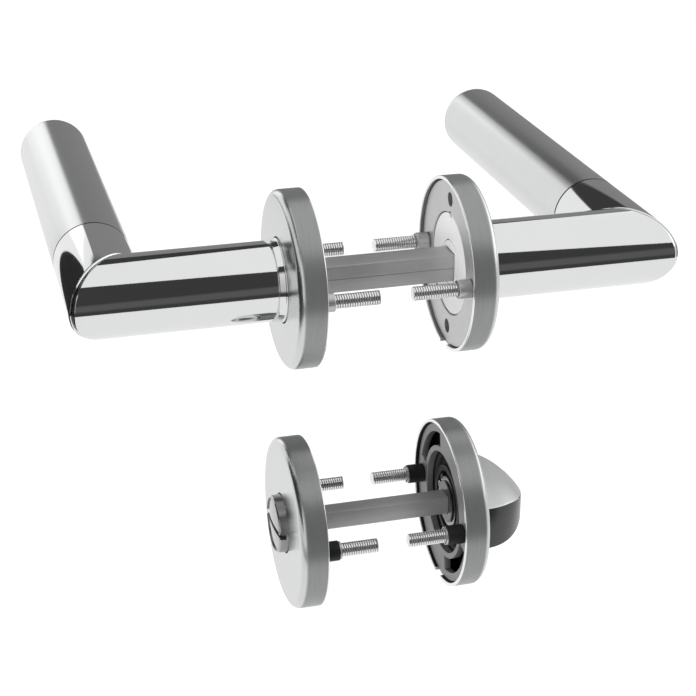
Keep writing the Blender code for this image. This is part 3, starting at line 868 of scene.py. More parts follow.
def rose_cover(sizes, bore):
    """A pressed cover: rim, rounded edge, face, bore and the same again inside."""
    wall, radius = sizes.rose_wall, sizes.rose_fillet
    edge = wall / 4
    inside = ROSE_DEPTH - wall
    rings = [
        *fillet((edge, ROSE_RADIUS - edge), edge, 180, 90, 3),
        *fillet((ROSE_DEPTH - radius, ROSE_RADIUS - radius), radius, 90, 0),
        *fillet((ROSE_DEPTH - edge, bore + edge), edge, 0, -90, 3),
        (inside, bore),
        *fillet((inside - radius + wall, ROSE_RADIUS - radius), radius - wall, 0, 90, 4),
        *fillet((edge, ROSE_RADIUS - wall + edge), edge, 270, 180, 3),
    ]
    cover = turned("rose_cover", rings, ring_shaped=True)
    half = sizes.notch_width / 2
    low = (-CUTTER_MARGIN, -half, -ROSE_RADIUS - CUTTER_MARGIN)
    high = (sizes.notch_depth, half, -ROSE_RADIUS + wall + CUTTER_MARGIN)
    return combine(cover, [block("notch", low, high)], "DIFFERENCE")


def mounting_plate(bore, cutters):
    edge = 0.0002
    rings = [
        *fillet((PLATE_BACK + edge, PLATE_RADIUS - edge), edge, 180, 90, 2),
        (PLATE_FRONT, PLATE_RADIUS),
        (PLATE_FRONT, bore),
        *fillet((PLATE_BACK + edge, bore + edge), edge, 270, 180, 2),
    ]
    plate = turned("mounting_plate", rings, ring_shaped=True)
    sleeve_holes = [plate_peg(STUD_RADIUS + 2 * GAP, angle) for angle in (0, math.pi)]
    return combine(plate, [*cutters, *sleeve_holes], "DIFFERENCE")


def plate_peg(radius, angle, circle=FIXING_CIRCLE, steps=SMALL_STEPS):
    low, high = PLATE_BACK - CUTTER_MARGIN, PLATE_FRONT + CUTTER_MARGIN
    return peg(low, high, radius, on_circle(angle, circle), steps)


def kidney(sizes, turn):
    """A curved slot cutter with flat ends, spun along the circle of the fixings."""
    low, high = PLATE_BACK - CUTTER_MARGIN, PLATE_FRONT + CUTTER_MARGIN
    start, end = sizes.kidney_start, sizes.kidney_end
    bpy.ops.object.select_all(action="DESELECT")
    bpy.ops.mesh.primitive_plane_add(
        size=1, location=((low + high) / 2, FIXING_CIRCLE, 0)
    )
    slot = bpy.context.object
    slot.scale = (high - low, 2 * sizes.kidney_half, 1)
    apply_place(slot)
    slot.rotation_euler.x = start + turn
    apply_place(slot)
    edit(slot)
    bpy.ops.mesh.spin(
        steps=24, angle=end - start, center=(0, 0, 0), axis=(-1, 0, 0), use_auto_merge=False
    )
    leave_edit()
    return tidy_mesh(slot)


def sleeve(length, radius, lip):
    """A sleeve that is riveted through the plate, with a small lip at its open end."""
    bore = STUD_RADIUS + GAP
    edge = 0.00025
    spigot = STUD_RADIUS + GAP * 2 / 3
    shoulder = PLATE_BACK - GAP
    head = PLATE_FRONT + GAP
    head_end = head + SLEEVE_HEAD_HEIGHT
    bore_end = 0.0001
    pinhole = 0.0005
    end = -length
    rings = [(end, bore)]
    if lip:
        rings += [(end, lip), (end + SLEEVE_LIP_LENGTH, lip)]
        end += SLEEVE_LIP_LENGTH
    rings += [
        *fillet((end + edge, radius - edge), edge, 180, 90, 3),
        (shoulder, radius),
        (shoulder, spigot),
        (head, spigot),
        (head, SLEEVE_HEAD_RADIUS),
        *fillet((head_end - edge, SLEEVE_HEAD_RADIUS - edge), edge, 90, 0, 3),
        (head_end, pinhole),
        (bore_end, pinhole),
        (bore_end, bore),
    ]
    return turned("sleeve", rings, SMALL_STEPS, ring_shaped=True)


class FITTINGS_OT_rose_covers(bpy.types.Operator):
    """Model the four round covers with their rounded rims and prising notches"""

    bl_idname = "fittings.rose_covers"
    bl_label = "Rose Covers"

    def execute(self, context):
        sizes = context.scene.fitting_sizes
        lever_bore = TUBE_RADIUS + sizes.flare + GAP
        both_sides(rose_cover(sizes, lever_bore), "lever_rose_cover")
        shaft = SHAFT_RADIUS + GAP
        for side, bore in (("inner", shaft), ("outer", sizes.dome_radius + GAP)):
            cover = rose_cover(sizes, bore)
            inside = ROSE_RADIUS - sizes.rose_wall + FINISH_MARGIN
            back, front = 0.0008, ROSE_DEPTH - 0.0009  # the painted shade inside the cover ends at these
            # Painted shade: the inside of the cover gets the black finish, for the shade within it
            two_finishes(
                cover, "satin_steel", "black_plastic",
                lambda face: back < face.center.x < front and face.center.yz.length < inside,
            )
            place(cover, side, BATH_HEIGHT)
            stand_for(smooth(cover), f"{side}_bath_rose_cover")
        return {"FINISHED"}


class FITTINGS_OT_lever_plates(bpy.types.Operator):
    """Model the zinc plates behind the lever roses, with screw holes and a nick"""

    bl_idname = "fittings.lever_plates"
    bl_label = "Lever Mounting Plates"

    def execute(self, context):
        holes = [
            plate_peg(SCREW_HOLE_RADIUS, turn + OFF_EDGE) for turn in (math.pi / 2, -math.pi / 2)
        ]
        nick = plate_peg(NICK_RADIUS, math.pi / 2 + OFF_EDGE, CAP_RADIUS + GAP, steps=3)
        plate = mounting_plate(CAP_RADIUS + GAP, [*holes, nick])
        both_sides(bevelled(plate, 0.0001, segments=1), "lever_mount_plate")
        return {"FINISHED"}


class FITTINGS_OT_lever_bearings(bpy.types.Operator):
    """Model the white bearing caps and the square inserts that turn in them"""

    bl_idname = "fittings.lever_bearings"
    bl_label = "Lever Bearings"

    def execute(self, context):
        edge = 0.0002
        inner = INSERT_RADIUS + GAP
        rings = [
            *fillet((CAP_BACK + edge, CAP_RADIUS - edge), edge, 180, 90, 2),
            (CAP_FRONT, CAP_RADIUS),
            (CAP_FRONT, inner),
            *fillet((CAP_BACK + edge, inner + edge), edge, 270, 180, 2),
        ]
        cap = turned("bearing_cap", rings, ring_shaped=True)
        low, high = CAP_BACK - CUTTER_MARGIN, CAP_FRONT + CUTTER_MARGIN
        nick = peg(low, high, NICK_RADIUS, on_circle(math.pi / 2, CAP_RADIUS), steps=3)
        both_sides(combine(cap, [nick], "DIFFERENCE"), "bearing_cap")
        rings = [
            *fillet((CAP_BACK + edge, INSERT_RADIUS - edge), edge, 180, 90, 2),
            (CAP_FRONT, INSERT_RADIUS),
        ]
        insert = turned("drive_insert", rings)
        half = LEVER_SPINDLE_HALF + GAP
        socket = block("socket", (low, -half, -half), (high, half, half))
        combine(insert, [socket], "DIFFERENCE")
        both_sides(bevelled(insert, 0.00012, segments=1), "drive_insert")
        return {"FINISHED"}


def on_mitre(face):
    """Whether a face lies in the plane of the mitre."""
    return abs(face.normal.x + face.normal.y) > 1.41 and abs(face.normal.z) < 0.05


def mitred(obj, keep_grip_side, sizes):
    """Cuts a tube at the mitre and rounds its edge with one radius all the way round."""
    normal = Vector((1, 1, 0)).normalized()
    away = normal if keep_grip_side else -normal
    on_plane = Vector((GRIP_AXIS, 0, 0)) + away * GAP * 0.65
    edit(obj)
    bpy.ops.mesh.bisect(plane_co=on_plane, plane_no=-away, use_fill=True, clear_outer=True)
    leave_edit()
    tidy_mesh(obj)
    mesh = obj.data
    verts = mesh.vertices
    axis_point = Vector((GRIP_AXIS, 0, 0))
    axis = Vector((0, 1, 0)) if keep_grip_side else Vector((1, 0, 0))
    rim = {}
    for edge in mesh.edges:
        ends = [verts[index].co for index in edge.vertices]
        if all(abs((end - on_plane).dot(away)) < 1e-5 for end in ends):
            middle = (ends[0] + ends[1]) / 2 - axis_point
            outward = (middle - axis * middle.dot(axis)).normalized()
            between = math.pi - math.acos(max(-1, min(1, outward.dot(-away))))
            rim[edge.index] = sizes.mitre_radius / math.tan(between / 2)
    widest = max(rim.values())
    weights = mesh.attributes.new("bevel_weight_edge", "FLOAT", "EDGE")
    for index, offset in rim.items():
        weights.data[index].value = offset / widest
    modify(
        obj, "BEVEL", width=widest, segments=MITRE_SEGMENTS, limit_method="WEIGHT",
        offset_type="OFFSET", use_clamp_overlap=False,
    )
    obj.data.attributes.remove(obj.data.attributes["bevel_weight_edge"])
    return obj


class FITTINGS_OT_necks(bpy.types.Operator):
    """Model the polished necks with their foot, journal, spindle socket and mitre"""

    bl_idname = "fittings.necks"
    bl_label = "Necks"

    def execute(self, context):
        sizes = context.scene.fitting_sizes
        foot = TUBE_RADIUS + sizes.flare
        foot_end = ROSE_DEPTH + sizes.flare_length
        journal = TUBE_RADIUS - 0.0025
        shoulder = ROSE_DEPTH - 0.0012
        groove = NECK_BACK + 0.0003
        groove_end = groove + 0.001
        edge = 0.0003
        rings = [
            (NECK_BACK, journal),
            (groove, journal),
            (groove, journal - CIRCLIP_GROOVE),
            (groove_end, journal - CIRCLIP_GROOVE),
            (groove_end, journal),
            (shoulder, journal),
            (shoulder, foot),
            *fillet((ROSE_DEPTH + edge, foot - edge), edge, 90, 20, 3),
            (foot_end, TUBE_RADIUS),
            (GRIP_AXIS + 2 * TUBE_RADIUS, TUBE_RADIUS),
        ]
        neck = mitred(turned("neck", rings), keep_grip_side=False, sizes=sizes)
        half = LEVER_SPINDLE_HALF + GAP
        socket_end = LEVER_SPINDLE_END - DOOR_HALF + GAP
        socket = block(
            "socket", (NECK_BACK - CUTTER_MARGIN, -half, -half), (socket_end, half, half)
        )
        screw_low, screw_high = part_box("inner_grub_screw")
        radius = (screw_high.x - screw_low.x) / 2 + GAP
        middle = (screw_high.x + screw_low.x) / 2 - DOOR_HALF
        bpy.ops.object.select_all(action="DESELECT")
        bpy.ops.mesh.primitive_cylinder_add(
            vertices=SMALL_STEPS, radius=radius, depth=2 * TUBE_RADIUS,
            location=(middle, 0, -TUBE_RADIUS),
        )
        hole = apply_place(bpy.context.object)
        combine(neck, [socket, hole], "DIFFERENCE")
        # Painted shade: the mitre faces get the black finish, so that the gap at the mitre reads
        # dark
        two_finishes(neck, "polished_steel", "black_plastic", on_mitre)
        both_sides(neck, "neck", mirrored=True)
        return {"FINISHED"}


def along_grip(obj):
    """Takes a shape on the X axis to the axis of the grip."""
    obj.rotation_euler.z = math.pi / 2
    obj.location.x = GRIP_AXIS
    return apply_place(obj)


class FITTINGS_OT_collars(bpy.types.Operator):
    """Model the polished collars between mitre and grip, with their spigots"""

    bl_idname = "fittings.collars"
    bl_label = "Elbow Collars"

    def execute(self, context):
        sizes = context.scene.fitting_sizes
        chamfer = sizes.joint_chamfer
        end = GRIP_START - 1.5 * GAP
        spigot = TUBE_RADIUS - 0.0018
        rings = [
            (-2 * TUBE_RADIUS, TUBE_RADIUS),
            (end - chamfer, TUBE_RADIUS),
            (end, TUBE_RADIUS - chamfer),
            (end, spigot),
            (COLLAR_SPIGOT_END, spigot),
        ]
        collar = along_grip(turned("collar", rings))
        mitred(collar, keep_grip_side=True, sizes=sizes)
        # Painted shade: the joint end, its chamfer, the spigot and the mitre faces get the black
        # finish, for the dark gaps
        two_finishes(
            collar, "polished_steel", "black_plastic",
            lambda face: face.center.y > end - chamfer or on_mitre(face),
        )
        both_sides(collar, "elbow_collar", mirrored=True)
        return {"FINISHED"}


class FITTINGS_OT_grips(bpy.types.Operator):
    """Model the satin grips: hollow tubes with a chamfered joint and a rounded end"""

    bl_idname = "fittings.grips"
    bl_label = "Grips"

    def execute(self, context):
        sizes = context.scene.fitting_sizes
        chamfer, radius = sizes.joint_chamfer, sizes.grip_end_radius
        wall = 0.0015
        bore = TUBE_RADIUS - wall
        bottom = GRIP_END - 0.003
        inner = radius - wall
        tip = 0.0004
        rings = [
            (GRIP_START, bore),
            (GRIP_START, TUBE_RADIUS - chamfer),
            (GRIP_START + chamfer, TUBE_RADIUS),
            *fillet((GRIP_END - radius, TUBE_RADIUS - radius), radius, 90, 0, 12),
            (GRIP_END, tip),
        ]
        inside = [
            (bottom, tip),
            *fillet((bottom - inner, bore - inner), inner, 0, 90, 4),
        ]
        grip = turned("grip", [*rings, *inside], ring_shaped=True)
        fill_tip(grip, GRIP_END, bottom, tip)
        # Painted shade: the joint end of the grip and its chamfer get the black finish, for the
        # dark gap at the joint
        two_finishes(
            along_grip(grip), "satin_tube", "black_plastic",
            lambda face: face.center.y < GRIP_START + chamfer,
        )
        both_sides(grip, "grip", mirrored=True)
        return {"FINISHED"}


def fill_tip(obj, outside, inside, radius):
    """Closes the small hole that turning leaves on the axis of an end wall."""
    edit(obj)
    bpy.ops.mesh.select_all(action="DESELECT")
    leave_edit()
    for face in obj.data.polygons:
        across = face.center.yz.length < radius * 1.01
        face.select = across and inside + DOUBLES < face.center.x < outside - DOUBLES
    bpy.ops.object.mode_set(mode="EDIT")
    bpy.ops.mesh.delete(type="FACE")
    bpy.ops.mesh.select_all(action="SELECT")
    bpy.ops.mesh.fill_holes(sides=0)
    leave_edit()
    tidy_mesh(obj)


class FITTINGS_OT_lever_sleeves(bpy.types.Operator):
    """Model the four zinc sleeves that are riveted into the lever plates"""

    bl_idname = "fittings.lever_sleeves"
    bl_label = "Lever Sleeves"

    def execute(self, context):
        length = -(span("inner_lever_sleeve_back", 0)[0] - DOOR_HALF)
        radius = STUD_RADIUS + 0.0007
        four_fixings(sleeve(length, radius, None), "lever_sleeve", 0)
        return {"FINISHED"}


class FITTINGS_OT_bath_sleeves(bpy.types.Operator):
    """Model the four black sleeves of the bathroom plates, each with a metal lip"""

    bl_idname = "fittings.bath_sleeves"
    bl_label = "Bathroom Sleeves"

    def execute(self, context):
        length = -(span("inner_bath_sleeve_back", 0)[0] - DOOR_HALF)
        radius, lip = STUD_RADIUS + 0.0009, STUD_RADIUS + 0.0006
        piece = sleeve(length, radius, lip)
        lip_end = SLEEVE_LIP_LENGTH + FINISH_MARGIN - length
        two_finishes(
            piece, "black_plastic", "zinc_plate",
            lambda face: face.center.x < lip_end and face.center.yz.length < lip * 1.02,
        )
        four_fixings(piece, "bath_sleeve", BATH_HEIGHT)
        return {"FINISHED"}


def four_fixings(obj, kind, height):
    """Copies a fixing to both places of both sides, and removes the pattern."""
    for side in ("inner", "outer"):
        for spot, offset in (("front", -FIXING_CIRCLE), ("back", FIXING_CIRCLE)):
            copy = duplicate(obj, "copy")
            place(copy, side, height, offset=offset)
            stand_for(smooth(copy), f"{side}_{kind}_{spot}")
    select_only(obj)
    bpy.ops.object.delete()


def select_corners(obj, wanted):
    """Enters edit mode with just the wanted corners of a mesh selected."""
    edit(obj)
    bpy.ops.mesh.select_mode(type="VERT")
    bpy.ops.mesh.select_all(action="DESELECT")
    bpy.ops.object.mode_set(mode="OBJECT")
    for vertex in obj.data.vertices:
        vertex.select = wanted(vertex.co)
    bpy.ops.object.mode_set(mode="EDIT")


class FITTINGS_OT_studs(bpy.types.Operator):
    """Model one threaded stud with a chamfered tip and copy it to its eight places"""

    bl_idname = "fittings.studs"
    bl_label = "Threaded Studs"

    def execute(self, context):
        sizes = context.scene.fitting_sizes
        pitch = sizes.thread_pitch
        crest, root = STUD_RADIUS, STUD_RADIUS - sizes.thread_depth
        turns = math.ceil((STUD_SEAT - STUD_TIP) / pitch) + 3
        start = STUD_TIP - 1.2 * pitch  # the first turn is open, so it lies before the tip
        middle = (crest + root) / 2
        bpy.ops.object.select_all(action="DESELECT")
        bpy.ops.mesh.primitive_plane_add(
            size=1, location=(start + pitch / 2, 0, middle), rotation=(math.pi / 2, 0, 0)
        )
        thread = bpy.context.object
        thread.scale = (pitch, crest - root, 1)
        apply_place(thread)
        select_corners(thread, lambda corner: corner.z > middle)
        bpy.ops.transform.resize(value=(sizes.thread_crest, 1, 1))
        leave_edit()
        select_corners(thread, lambda corner: corner.z < middle)
        bpy.ops.mesh.select_mode(type="EDGE")
        bpy.ops.mesh.delete(type="EDGE")
        leave_edit()
        modify(
            thread, "SCREW", axis="X", screw_offset=pitch, iterations=turns, angle=math.tau,
            steps=THREAD_STEPS, render_steps=THREAD_STEPS, use_merge_vertices=False,
        )
        edit(thread)
        bpy.ops.mesh.remove_doubles(threshold=DOUBLES)
        leave_edit()
        for end, cut in ((STUD_TIP, "clear_inner"), (STUD_SEAT, "clear_outer")):
            edit(thread)
            bpy.ops.mesh.bisect(
                plane_co=(end, 0, 0), plane_no=(1, 0, 0),
                use_fill=True, threshold=1e-7, **{cut: True},
            )
            leave_edit()
        tidy_mesh(thread)
        select_corners(thread, lambda corner: corner.x < STUD_TIP + DOUBLES)
        bpy.ops.transform.resize(value=(1, 0.8, 0.8), center_override=(STUD_TIP, 0, 0))
        leave_edit()
        # Painted shade: one flank of the thread gets the darker zinc finish, so that the threads
        # show
        two_finishes(
            thread, "bright_zinc", "zinc_plate", lambda face: 0.2 < face.normal.x < 0.99
        )
        for kind, height in (("lever_stud", 0), ("bath_stud", BATH_HEIGHT)):
            copy = duplicate(thread, kind)
            four_fixings(copy, kind, height)
        select_only(thread)
        bpy.ops.object.delete()
        return {"FINISHED"}


class FITTINGS_OT_spindles(bpy.types.Operator):
    """Model both square spindles, the larger one with a slit line on two sides"""

    bl_idname = "fittings.spindles"
    bl_label = "Spindles"

    def execute(self, context):
        sizes = context.scene.fitting_sizes
        half, end = LEVER_SPINDLE_HALF, LEVER_SPINDLE_END
        bar = block("lever_bar", (-end, -half, -half), (end, half, half))
        slit = sizes.slit_width / 2
        low, high = -end - CUTTER_MARGIN, end + CUTTER_MARGIN
        cutters = [
            block("slit", (low, half - 2 * slit, -slit), (high, half + CUTTER_MARGIN, slit)),
            block("slit", (low, -half - CUTTER_MARGIN, -slit), (high, -half + 2 * slit, slit)),
        ]
        edge = 0.0003
        bevelled(bar, edge, segments=3)
        combine(bar, cutters, "DIFFERENCE")
        stand_for(smooth(bar), "lever_spindle")
        half, end = BATH_SPINDLE_HALF, BATH_SPINDLE_END
        bar = block("bath_bar", (-end, -half, BATH_HEIGHT - half), (end, half, BATH_HEIGHT + half))
        bevelled(bar, edge, segments=3)
        stand_for(smooth(bar), "bath_spindle")
        return {"FINISHED"}


class FITTINGS_OT_bath_plates(bpy.types.Operator):
    """Model the grey castings behind the bathroom roses, with two curved slots"""

    bl_idname = "fittings.bath_plates"
    bl_label = "Bathroom Mounting Plates"

    def execute(self, context):
        sizes = context.scene.fitting_sizes
        opening = CUP_RADIUS - 0.0007
        plate = mounting_plate(opening, [kidney(sizes, 0), kidney(sizes, math.pi)])
        both_sides(bevelled(plate, 0.00015, segments=2), "bath_mount_plate", BATH_HEIGHT)
        return {"FINISHED"}


class FITTINGS_OT_bearing_cups(bpy.types.Operator):
    """Model the black cups that the bathroom shafts turn in, with a raised ring"""

    bl_idname = "fittings.bearing_cups"
    bl_label = "Bearing Cups"

    def execute(self, context):
        inner = SHAFT_RADIUS + GAP
        edge = 0.0003
        hollow = CUP_BACK + 0.0013
        ring_top = CUP_BACK - 0.0010
        ring_inner, ring_outer = 0.0095, 0.0112
        foot_inner, foot_outer = 0.0092, 0.0116  # of that ring, which is wider at its foot
        slope_start, slope_end, rim_inner = 0.0138, 0.0142, 0.0145
        rings = [
            (CUP_FRONT, inner),
            (hollow, inner),
            (hollow, foot_inner),
            *fillet((ring_top + edge, ring_inner + edge), edge, 270, 180, 3),
            *fillet((ring_top + edge, ring_outer - edge), edge, 180, 90, 3),
            (hollow, foot_outer),
            (hollow, slope_start),
            (CUP_BACK + edge, slope_end),
            (CUP_BACK, rim_inner),
            (CUP_BACK, CUP_RADIUS),
            (CUP_FRONT, CUP_RADIUS),
        ]
        both_sides(turned("bearing_cup", rings, ring_shaped=True), "bearing_cup", BATH_HEIGHT)
        return {"FINISHED"}


class FITTINGS_OT_bath_circlips(bpy.types.Operator):
    """Model the circlips of the bathroom shafts: open rings with two pierced ears"""

    bl_idname = "fittings.bath_circlips"
    bl_label = "Bathroom Circlips"

    def execute(self, context):
        back, front = (x - DOOR_HALF for x in span("inner_bath_circlip", 0))
        inner = SHAFT_RADIUS - CIRCLIP_GROOVE + GAP
        outer = inner + 0.0016
        rings = [(back, inner), (back, outer), (front, outer), (front, inner)]
        clip = turned("circlip", rings, ring_shaped=True)
        opening = math.radians(30)
        half = 0.0013
        cutter = block("opening", (back - GAP, 0, -half), (front + GAP, outer * 1.5, half))
        cutter.rotation_euler.x = opening
        apply_place(cutter)
        combine(clip, [cutter], "DIFFERENCE")
        spread = math.radians(15)
        ear_radius, ear_hole, ear_circle = 0.00125, 0.0005, outer - 0.0001
        for direction in (-1, 1):
            at = on_circle(opening + direction * spread, ear_circle)
            combine(clip, [peg(back, front, ear_radius, at)], "UNION")
            combine(clip, [peg(back - GAP, front + GAP, ear_hole, at, 24)], "DIFFERENCE")
        both_sides(clip, "bath_circlip", BATH_HEIGHT)
        return {"FINISHED"}


def shaft_rings(end):
    """The stepped shaft that dome and thumb turn share, from its back to a distance."""
    groove = CUP_BACK - 0.0011
    small = SHAFT_RADIUS - CIRCLIP_GROOVE
    edge = 0.0004
    return [
        (SHAFT_BACK, SHAFT_RADIUS - edge),
        (SHAFT_BACK + edge / 2, SHAFT_RADIUS - edge / 2),
        (groove, SHAFT_RADIUS - edge / 2),
        (groove, small),
        (CUP_BACK, small),
        (CUP_BACK, SHAFT_RADIUS),
        (end, SHAFT_RADIUS),
    ]


def bath_socket():
    half = BATH_SPINDLE_HALF + GAP
    end = BATH_SPINDLE_END - DOOR_HALF + GAP
    return block("socket", (SHAFT_BACK - CUTTER_MARGIN, -half, -half), (end, half, half))


class FITTINGS_OT_release_dome(bpy.types.Operator):
    """Model the polished release dome with its coin slot"""

    bl_idname = "fittings.release_dome"
    bl_label = "Release Dome"

    def execute(self, context):
        sizes = context.scene.fitting_sizes
        radius = sizes.dome_radius
        top = -span("release_dome", 0)[0] - DOOR_HALF - sizes.dome_set_back
        start = CUP_FRONT + GAP
        cone_end, cone_radius = top - 0.0009, radius - 0.0002
        round_edge, lean = 0.0008, 70
        cap = cone_radius - round_edge * (1 - math.cos(math.radians(lean)))
        height = 0.0006
        ball = (cap**2 + height**2) / (2 * height)
        reach = math.degrees(math.asin(cap / ball))
        rings = [
            *shaft_rings(start),
            (start, radius),
            (ROSE_DEPTH, radius),
            *fillet((cone_end, cone_radius - round_edge), round_edge, lean, reach + 6, 6),
            *fillet((top - ball, 0), ball, reach, 1, 16),
        ]
        dome = turned("dome", rings)
        half = sizes.slot_width / 2
        low = (top - sizes.slot_depth, -radius - CUTTER_MARGIN, -half)
        high = (top + CUTTER_MARGIN, radius + CUTTER_MARGIN, half)
        combine(dome, [block("slot", low, high), bath_socket()], "DIFFERENCE")
        bevelled(dome, 0.00015, segments=2)
        # Painted shade: the side wall, the slot's walls and the shaft get the darker spring steel
        # finish
        two_finishes(dome, "dome_steel_painted_shade", "spring_steel", lambda face: face.normal.x < 0.3)
        place(dome, "outer", BATH_HEIGHT)
        stand_for(smooth(dome), "release_dome")
        return {"FINISHED"}


class FITTINGS_OT_thumb_turn(bpy.types.Operator):
    """Model the thumb turn: half an ellipse in plan, thinner towards its tip"""

    bl_idname = "fittings.thumb_turn"
    bl_label = "Thumb Turn"

    def execute(self, context):
        sizes = context.scene.fitting_sizes
        low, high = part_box("thumb_turn")
        start = ROSE_DEPTH + GAP
        reach = high.x - DOOR_HALF - start
        half_width_y, base_half = (high.y - low.y) / 2, (high.z - low.z) / 2
        stations = 36

        def section(station):
            angle = math.pi / 2 * station / stations
            share = math.sin(angle)
            y = max(half_width_y * math.cos(angle), 1e-5)
            z = base_half - (base_half - sizes.turn_tip_half) * share**sizes.turn_taper
            return start + reach * share, y, z

        bpy.ops.object.select_all(action="DESELECT")
        bpy.ops.mesh.primitive_plane_add(
            size=2, location=(start, 0, 0), rotation=(0, math.pi / 2, 0)
        )
        turn = apply_place(bpy.context.object)
        turn.scale = (1, half_width_y, base_half)
        apply_place(turn)
        edit(turn)
        for station in range(1, stations + 1):
            x0, y0, z0 = section(station - 1)
            x1, y1, z1 = section(station)
            bpy.ops.mesh.extrude_region_move(TRANSFORM_OT_translate={"value": (x1 - x0, 0, 0)})
            bpy.ops.transform.resize(value=(1, y1 / y0, z1 / z0), center_override=(x1, 0, 0))
        bpy.ops.mesh.select_all(action="SELECT")
        bpy.ops.mesh.normals_make_consistent(inside=False)
        leave_edit()
        bevelled(turn, 0.00035, math.radians(60), segments=3)
        stem_end = start + 0.001
        combine(turn, [turned("stem", shaft_rings(stem_end))], "UNION")
        combine(turn, [bath_socket()], "DIFFERENCE")
        # Painted light and shade: the broad faces get the brighter copy of the steel, the walls and
        # the stem the darker one
        two_finishes(
            turn, "satin_turn_painted_light", "satin_edge_painted_shade",
            lambda face: face.center.x < start or abs(face.normal.z) < 0.55,
        )
        place(turn, "inner", BATH_HEIGHT)
        stand_for(smooth(turn), "thumb_turn")
        return {"FINISHED"}


class FITTINGS_OT_inner_pieces(bpy.types.Operator):
    """Give the pieces that stay as they are in the frame their finishes"""

    bl_idname = "fittings.inner_pieces"
    bl_label = "Inner Pieces"

    def execute(self, context):
        for name, obj in frame["nodes"].items():
            if not obj.hide_render:
                obj.data.materials.clear()
                obj.data.materials.append(finish_of(SLOT_OF[name]))
        return {"FINISHED"}


# ---------------------------------------------------------------- studio


def panel_light(name, centre, size, turn, radiance, glossy=True):
    """A soft box: centre, (width, height), its turn from shining down and its brightness."""
    bpy.ops.object.light_add(type="AREA", location=centre)
    light = bpy.context.object
    light.name = name
    light.rotation_euler = turn
    light.data.shape = "RECTANGLE"
    light.data.size, light.data.size_y = size
    light.data.energy = radiance * size[0] * size[1] * math.pi
    light.visible_camera = False
    light.visible_glossy = glossy
    return light


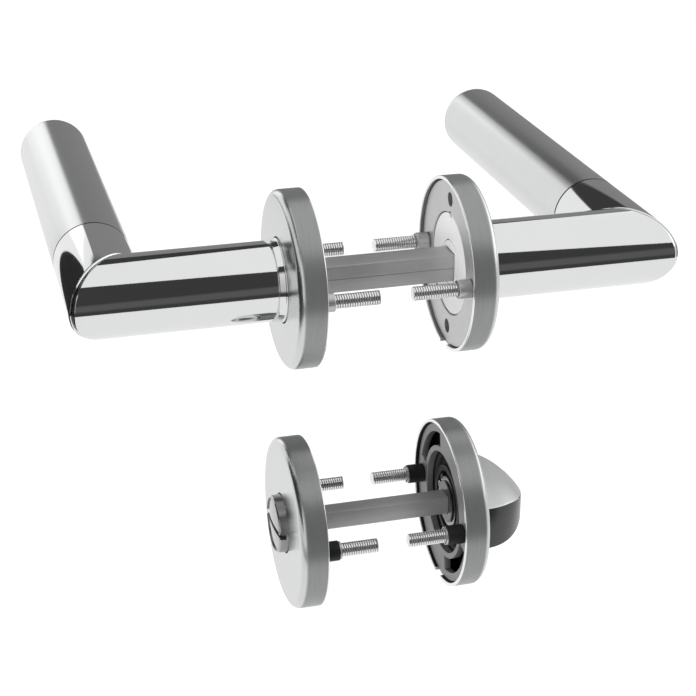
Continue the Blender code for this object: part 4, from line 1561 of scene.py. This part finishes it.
class FITTINGS_OT_studio(bpy.types.Operator):
    """Set up the pale floor, the soft boxes, the room and the camera"""

    bl_idname = "fittings.studio"
    bl_label = "Studio"

    def execute(self, context):
        studio = context.scene.fitting_studio
        self.floor(studio)
        self.lights(studio)
        self.room(context.scene, studio)
        self.camera(context.scene, studio)
        return {"FINISHED"}

    def floor(self, studio):
        """A floor that shows to the camera alone, and a dark card that only the metal sees."""
        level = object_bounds()[0][2] - 0.0002
        floor = block("floor", (-1.2, -0.6, level - 0.001), (1.2, 0.9, level))
        look = Look("pale_floor")
        cloud = look.noise(look.stretched((6, 6, 6)), detail=2)
        colour = look.mix(cloud, (0.30, 0.30, 0.30, 1), (0.32, 0.32, 0.32, 1))
        floor.data.materials.append(
            look.finish(
                0.0, Base_Color=colour, Roughness=0.9, Emission_Color=(1, 1, 1, 1),
                Emission_Strength=studio.floor_glow, Specular_IOR_Level=0.0,
            )
        )
        for ray in ("diffuse", "glossy", "transmission", "shadow"):
            setattr(floor, f"visible_{ray}", False)
        floor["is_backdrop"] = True
        card = block("black_card", (-0.110, -0.10, -0.055), (-0.108, 0.072, 0.04))
        look = Look("black_card")
        cloud = look.noise(look.stretched((6, 6, 6)), detail=2)
        card.data.materials.append(
            look.finish(0.0, Base_Color=(0.005, 0.005, 0.005, 1), Roughness=0.8 + cloud * 0.1)
        )
        card.visible_camera = False
        card.visible_shadow = False
        card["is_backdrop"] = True

    def lights(self, studio):
        panel_light(
            "top_soft_box", (0.10, 0.0, 0.413), (0.99, 0.80), (0, math.radians(45), 0),
            studio.top_light,
        )
        towards_set = Vector((0.8, 0.5, -0.25)).to_track_quat("-Z", "Y").to_euler()
        panel_light(
            "matt_fill", (-0.6, -0.35, 0.25), (0.6, 0.6), towards_set, studio.fill_light,
            glossy=False,
        )

    def room(self, scene, studio):
        """Lays out the room by direction, in degrees of azimuth from +Y to +X and height."""
        world = bpy.data.worlds.new("room")
        scene.world = world
        world.use_nodes = True
        room = Look.of_tree(world.node_tree)
        direction = room.place(output="Generated")
        x, y, z = (
            room.node("ShaderNodeSeparateXYZ", {}, {0: direction}, output=axis) for axis in "XYZ"
        )
        azimuth = room.node("ShaderNodeMath", {"operation": "ARCTAN2"}, {0: x, 1: y})
        height = room.node("ShaderNodeMath", {"operation": "ARCSINE"}, {0: z})

        def within(value, start, end, soft):
            """1 between two angles in degrees, and smooth over soft degrees at both."""
            first, second = (
                room.ramp(value, math.radians(edge - soft / 2), math.radians(edge + soft / 2))
                for edge in (start, end)
            )
            return first * (1 - second)

        light = studio.room_light
        for low, high, soft, radiance in (
            ((-400, -14), (400, 4), 8, studio.room_light * 2.2),
            ((-172, -12), (-100, 40), 10, studio.side_light * 1.15),
            ((-130, -14), (-40, 50), 10, studio.side_light),
            ((52, -50), (135, 35), 10, studio.side_light),
            ((-3, -14), (62, 28), 3.0, studio.wall_light),
            ((-60, -16), (-3, 27), 1.5, studio.back_light),
            ((-17, -3), (-4.5, 22), 2.0, studio.back_core),
        ):
            inside = within(azimuth, low[0], high[0], soft) * within(height, low[1], high[1], soft)
            light = light + inside * (radiance - light)
        level = z - y * studio.floor_tilt
        blur = 0.012
        below = 1 - room.ramp(level, studio.floor_line - blur, studio.floor_line + blur)
        light = light + below * (studio.floor_light - light)
        seen = room.node("ShaderNodeLightPath", {}, {}, output="Is Camera Ray")
        background = world.node_tree.nodes["Background"]
        background.inputs["Color"].default_value = (1, 1, 1, 1)
        room.link(light + seen * (1 - light), background.inputs["Strength"])

    def camera(self, scene, studio):
        bpy.ops.object.camera_add()
        camera = bpy.context.object
        camera.name = "camera"
        azimuth, elevation, roll = studio.camera_turn
        turn = (
            Matrix.Rotation(-azimuth, 4, "Z")
            @ Matrix.Rotation(math.pi / 2 + elevation, 4, "X")
            @ Matrix.Rotation(roll, 4, "Z")
        )
        camera.matrix_world = Matrix.Translation(studio.camera_place) @ turn
        camera.data.lens = studio.lens
        camera.data.sensor_width = 36
        camera.data.shift_x, camera.data.shift_y = studio.camera_shift
        camera.data.clip_start = 0.01
        scene.camera = camera
        scene.view_settings.view_transform = "Standard"


# ---------------------------------------------------------------- add-on


PIECES = (
    FITTINGS_OT_rose_covers,
    FITTINGS_OT_lever_plates,
    FITTINGS_OT_lever_bearings,
    FITTINGS_OT_necks,
    FITTINGS_OT_collars,
    FITTINGS_OT_grips,
    FITTINGS_OT_lever_sleeves,
    FITTINGS_OT_bath_sleeves,
    FITTINGS_OT_studs,
    FITTINGS_OT_spindles,
    FITTINGS_OT_bath_plates,
    FITTINGS_OT_bearing_cups,
    FITTINGS_OT_bath_circlips,
    FITTINGS_OT_release_dome,
    FITTINGS_OT_thumb_turn,
    FITTINGS_OT_inner_pieces,
    FITTINGS_OT_studio,
)


class FITTINGS_PT_panel(bpy.types.Panel):
    """Lists the pieces of the fittings in the order in which they are made"""

    bl_idname = "FITTINGS_PT_panel"
    bl_label = "Door Fittings"
    bl_space_type = "VIEW_3D"
    bl_region_type = "UI"
    bl_category = "Door Fittings"

    def draw(self, context):
        column = self.layout.column()
        for piece in PIECES:
            column.operator(piece.bl_idname)


SETTINGS = {
    "fitting_sizes": FittingSizes,
    "fitting_finishes": FinishSettings,
    "fitting_studio": StudioSettings,
}


def register():
    for kind in (*SETTINGS.values(), *PIECES, FITTINGS_PT_panel):
        bpy.utils.register_class(kind)
    for name, kind in SETTINGS.items():
        setattr(bpy.types.Scene, name, PointerProperty(type=kind))


def unregister():
    for name in SETTINGS:
        delattr(bpy.types.Scene, name)
    for kind in (FITTINGS_PT_panel, *reversed(PIECES), *SETTINGS.values()):
        bpy.utils.unregister_class(kind)


def main():
    register()
    for piece in PIECES:
        group, name = piece.bl_idname.split(".")
        getattr(getattr(bpy.ops, group), name)()


if __name__ == "__main__":
    main()
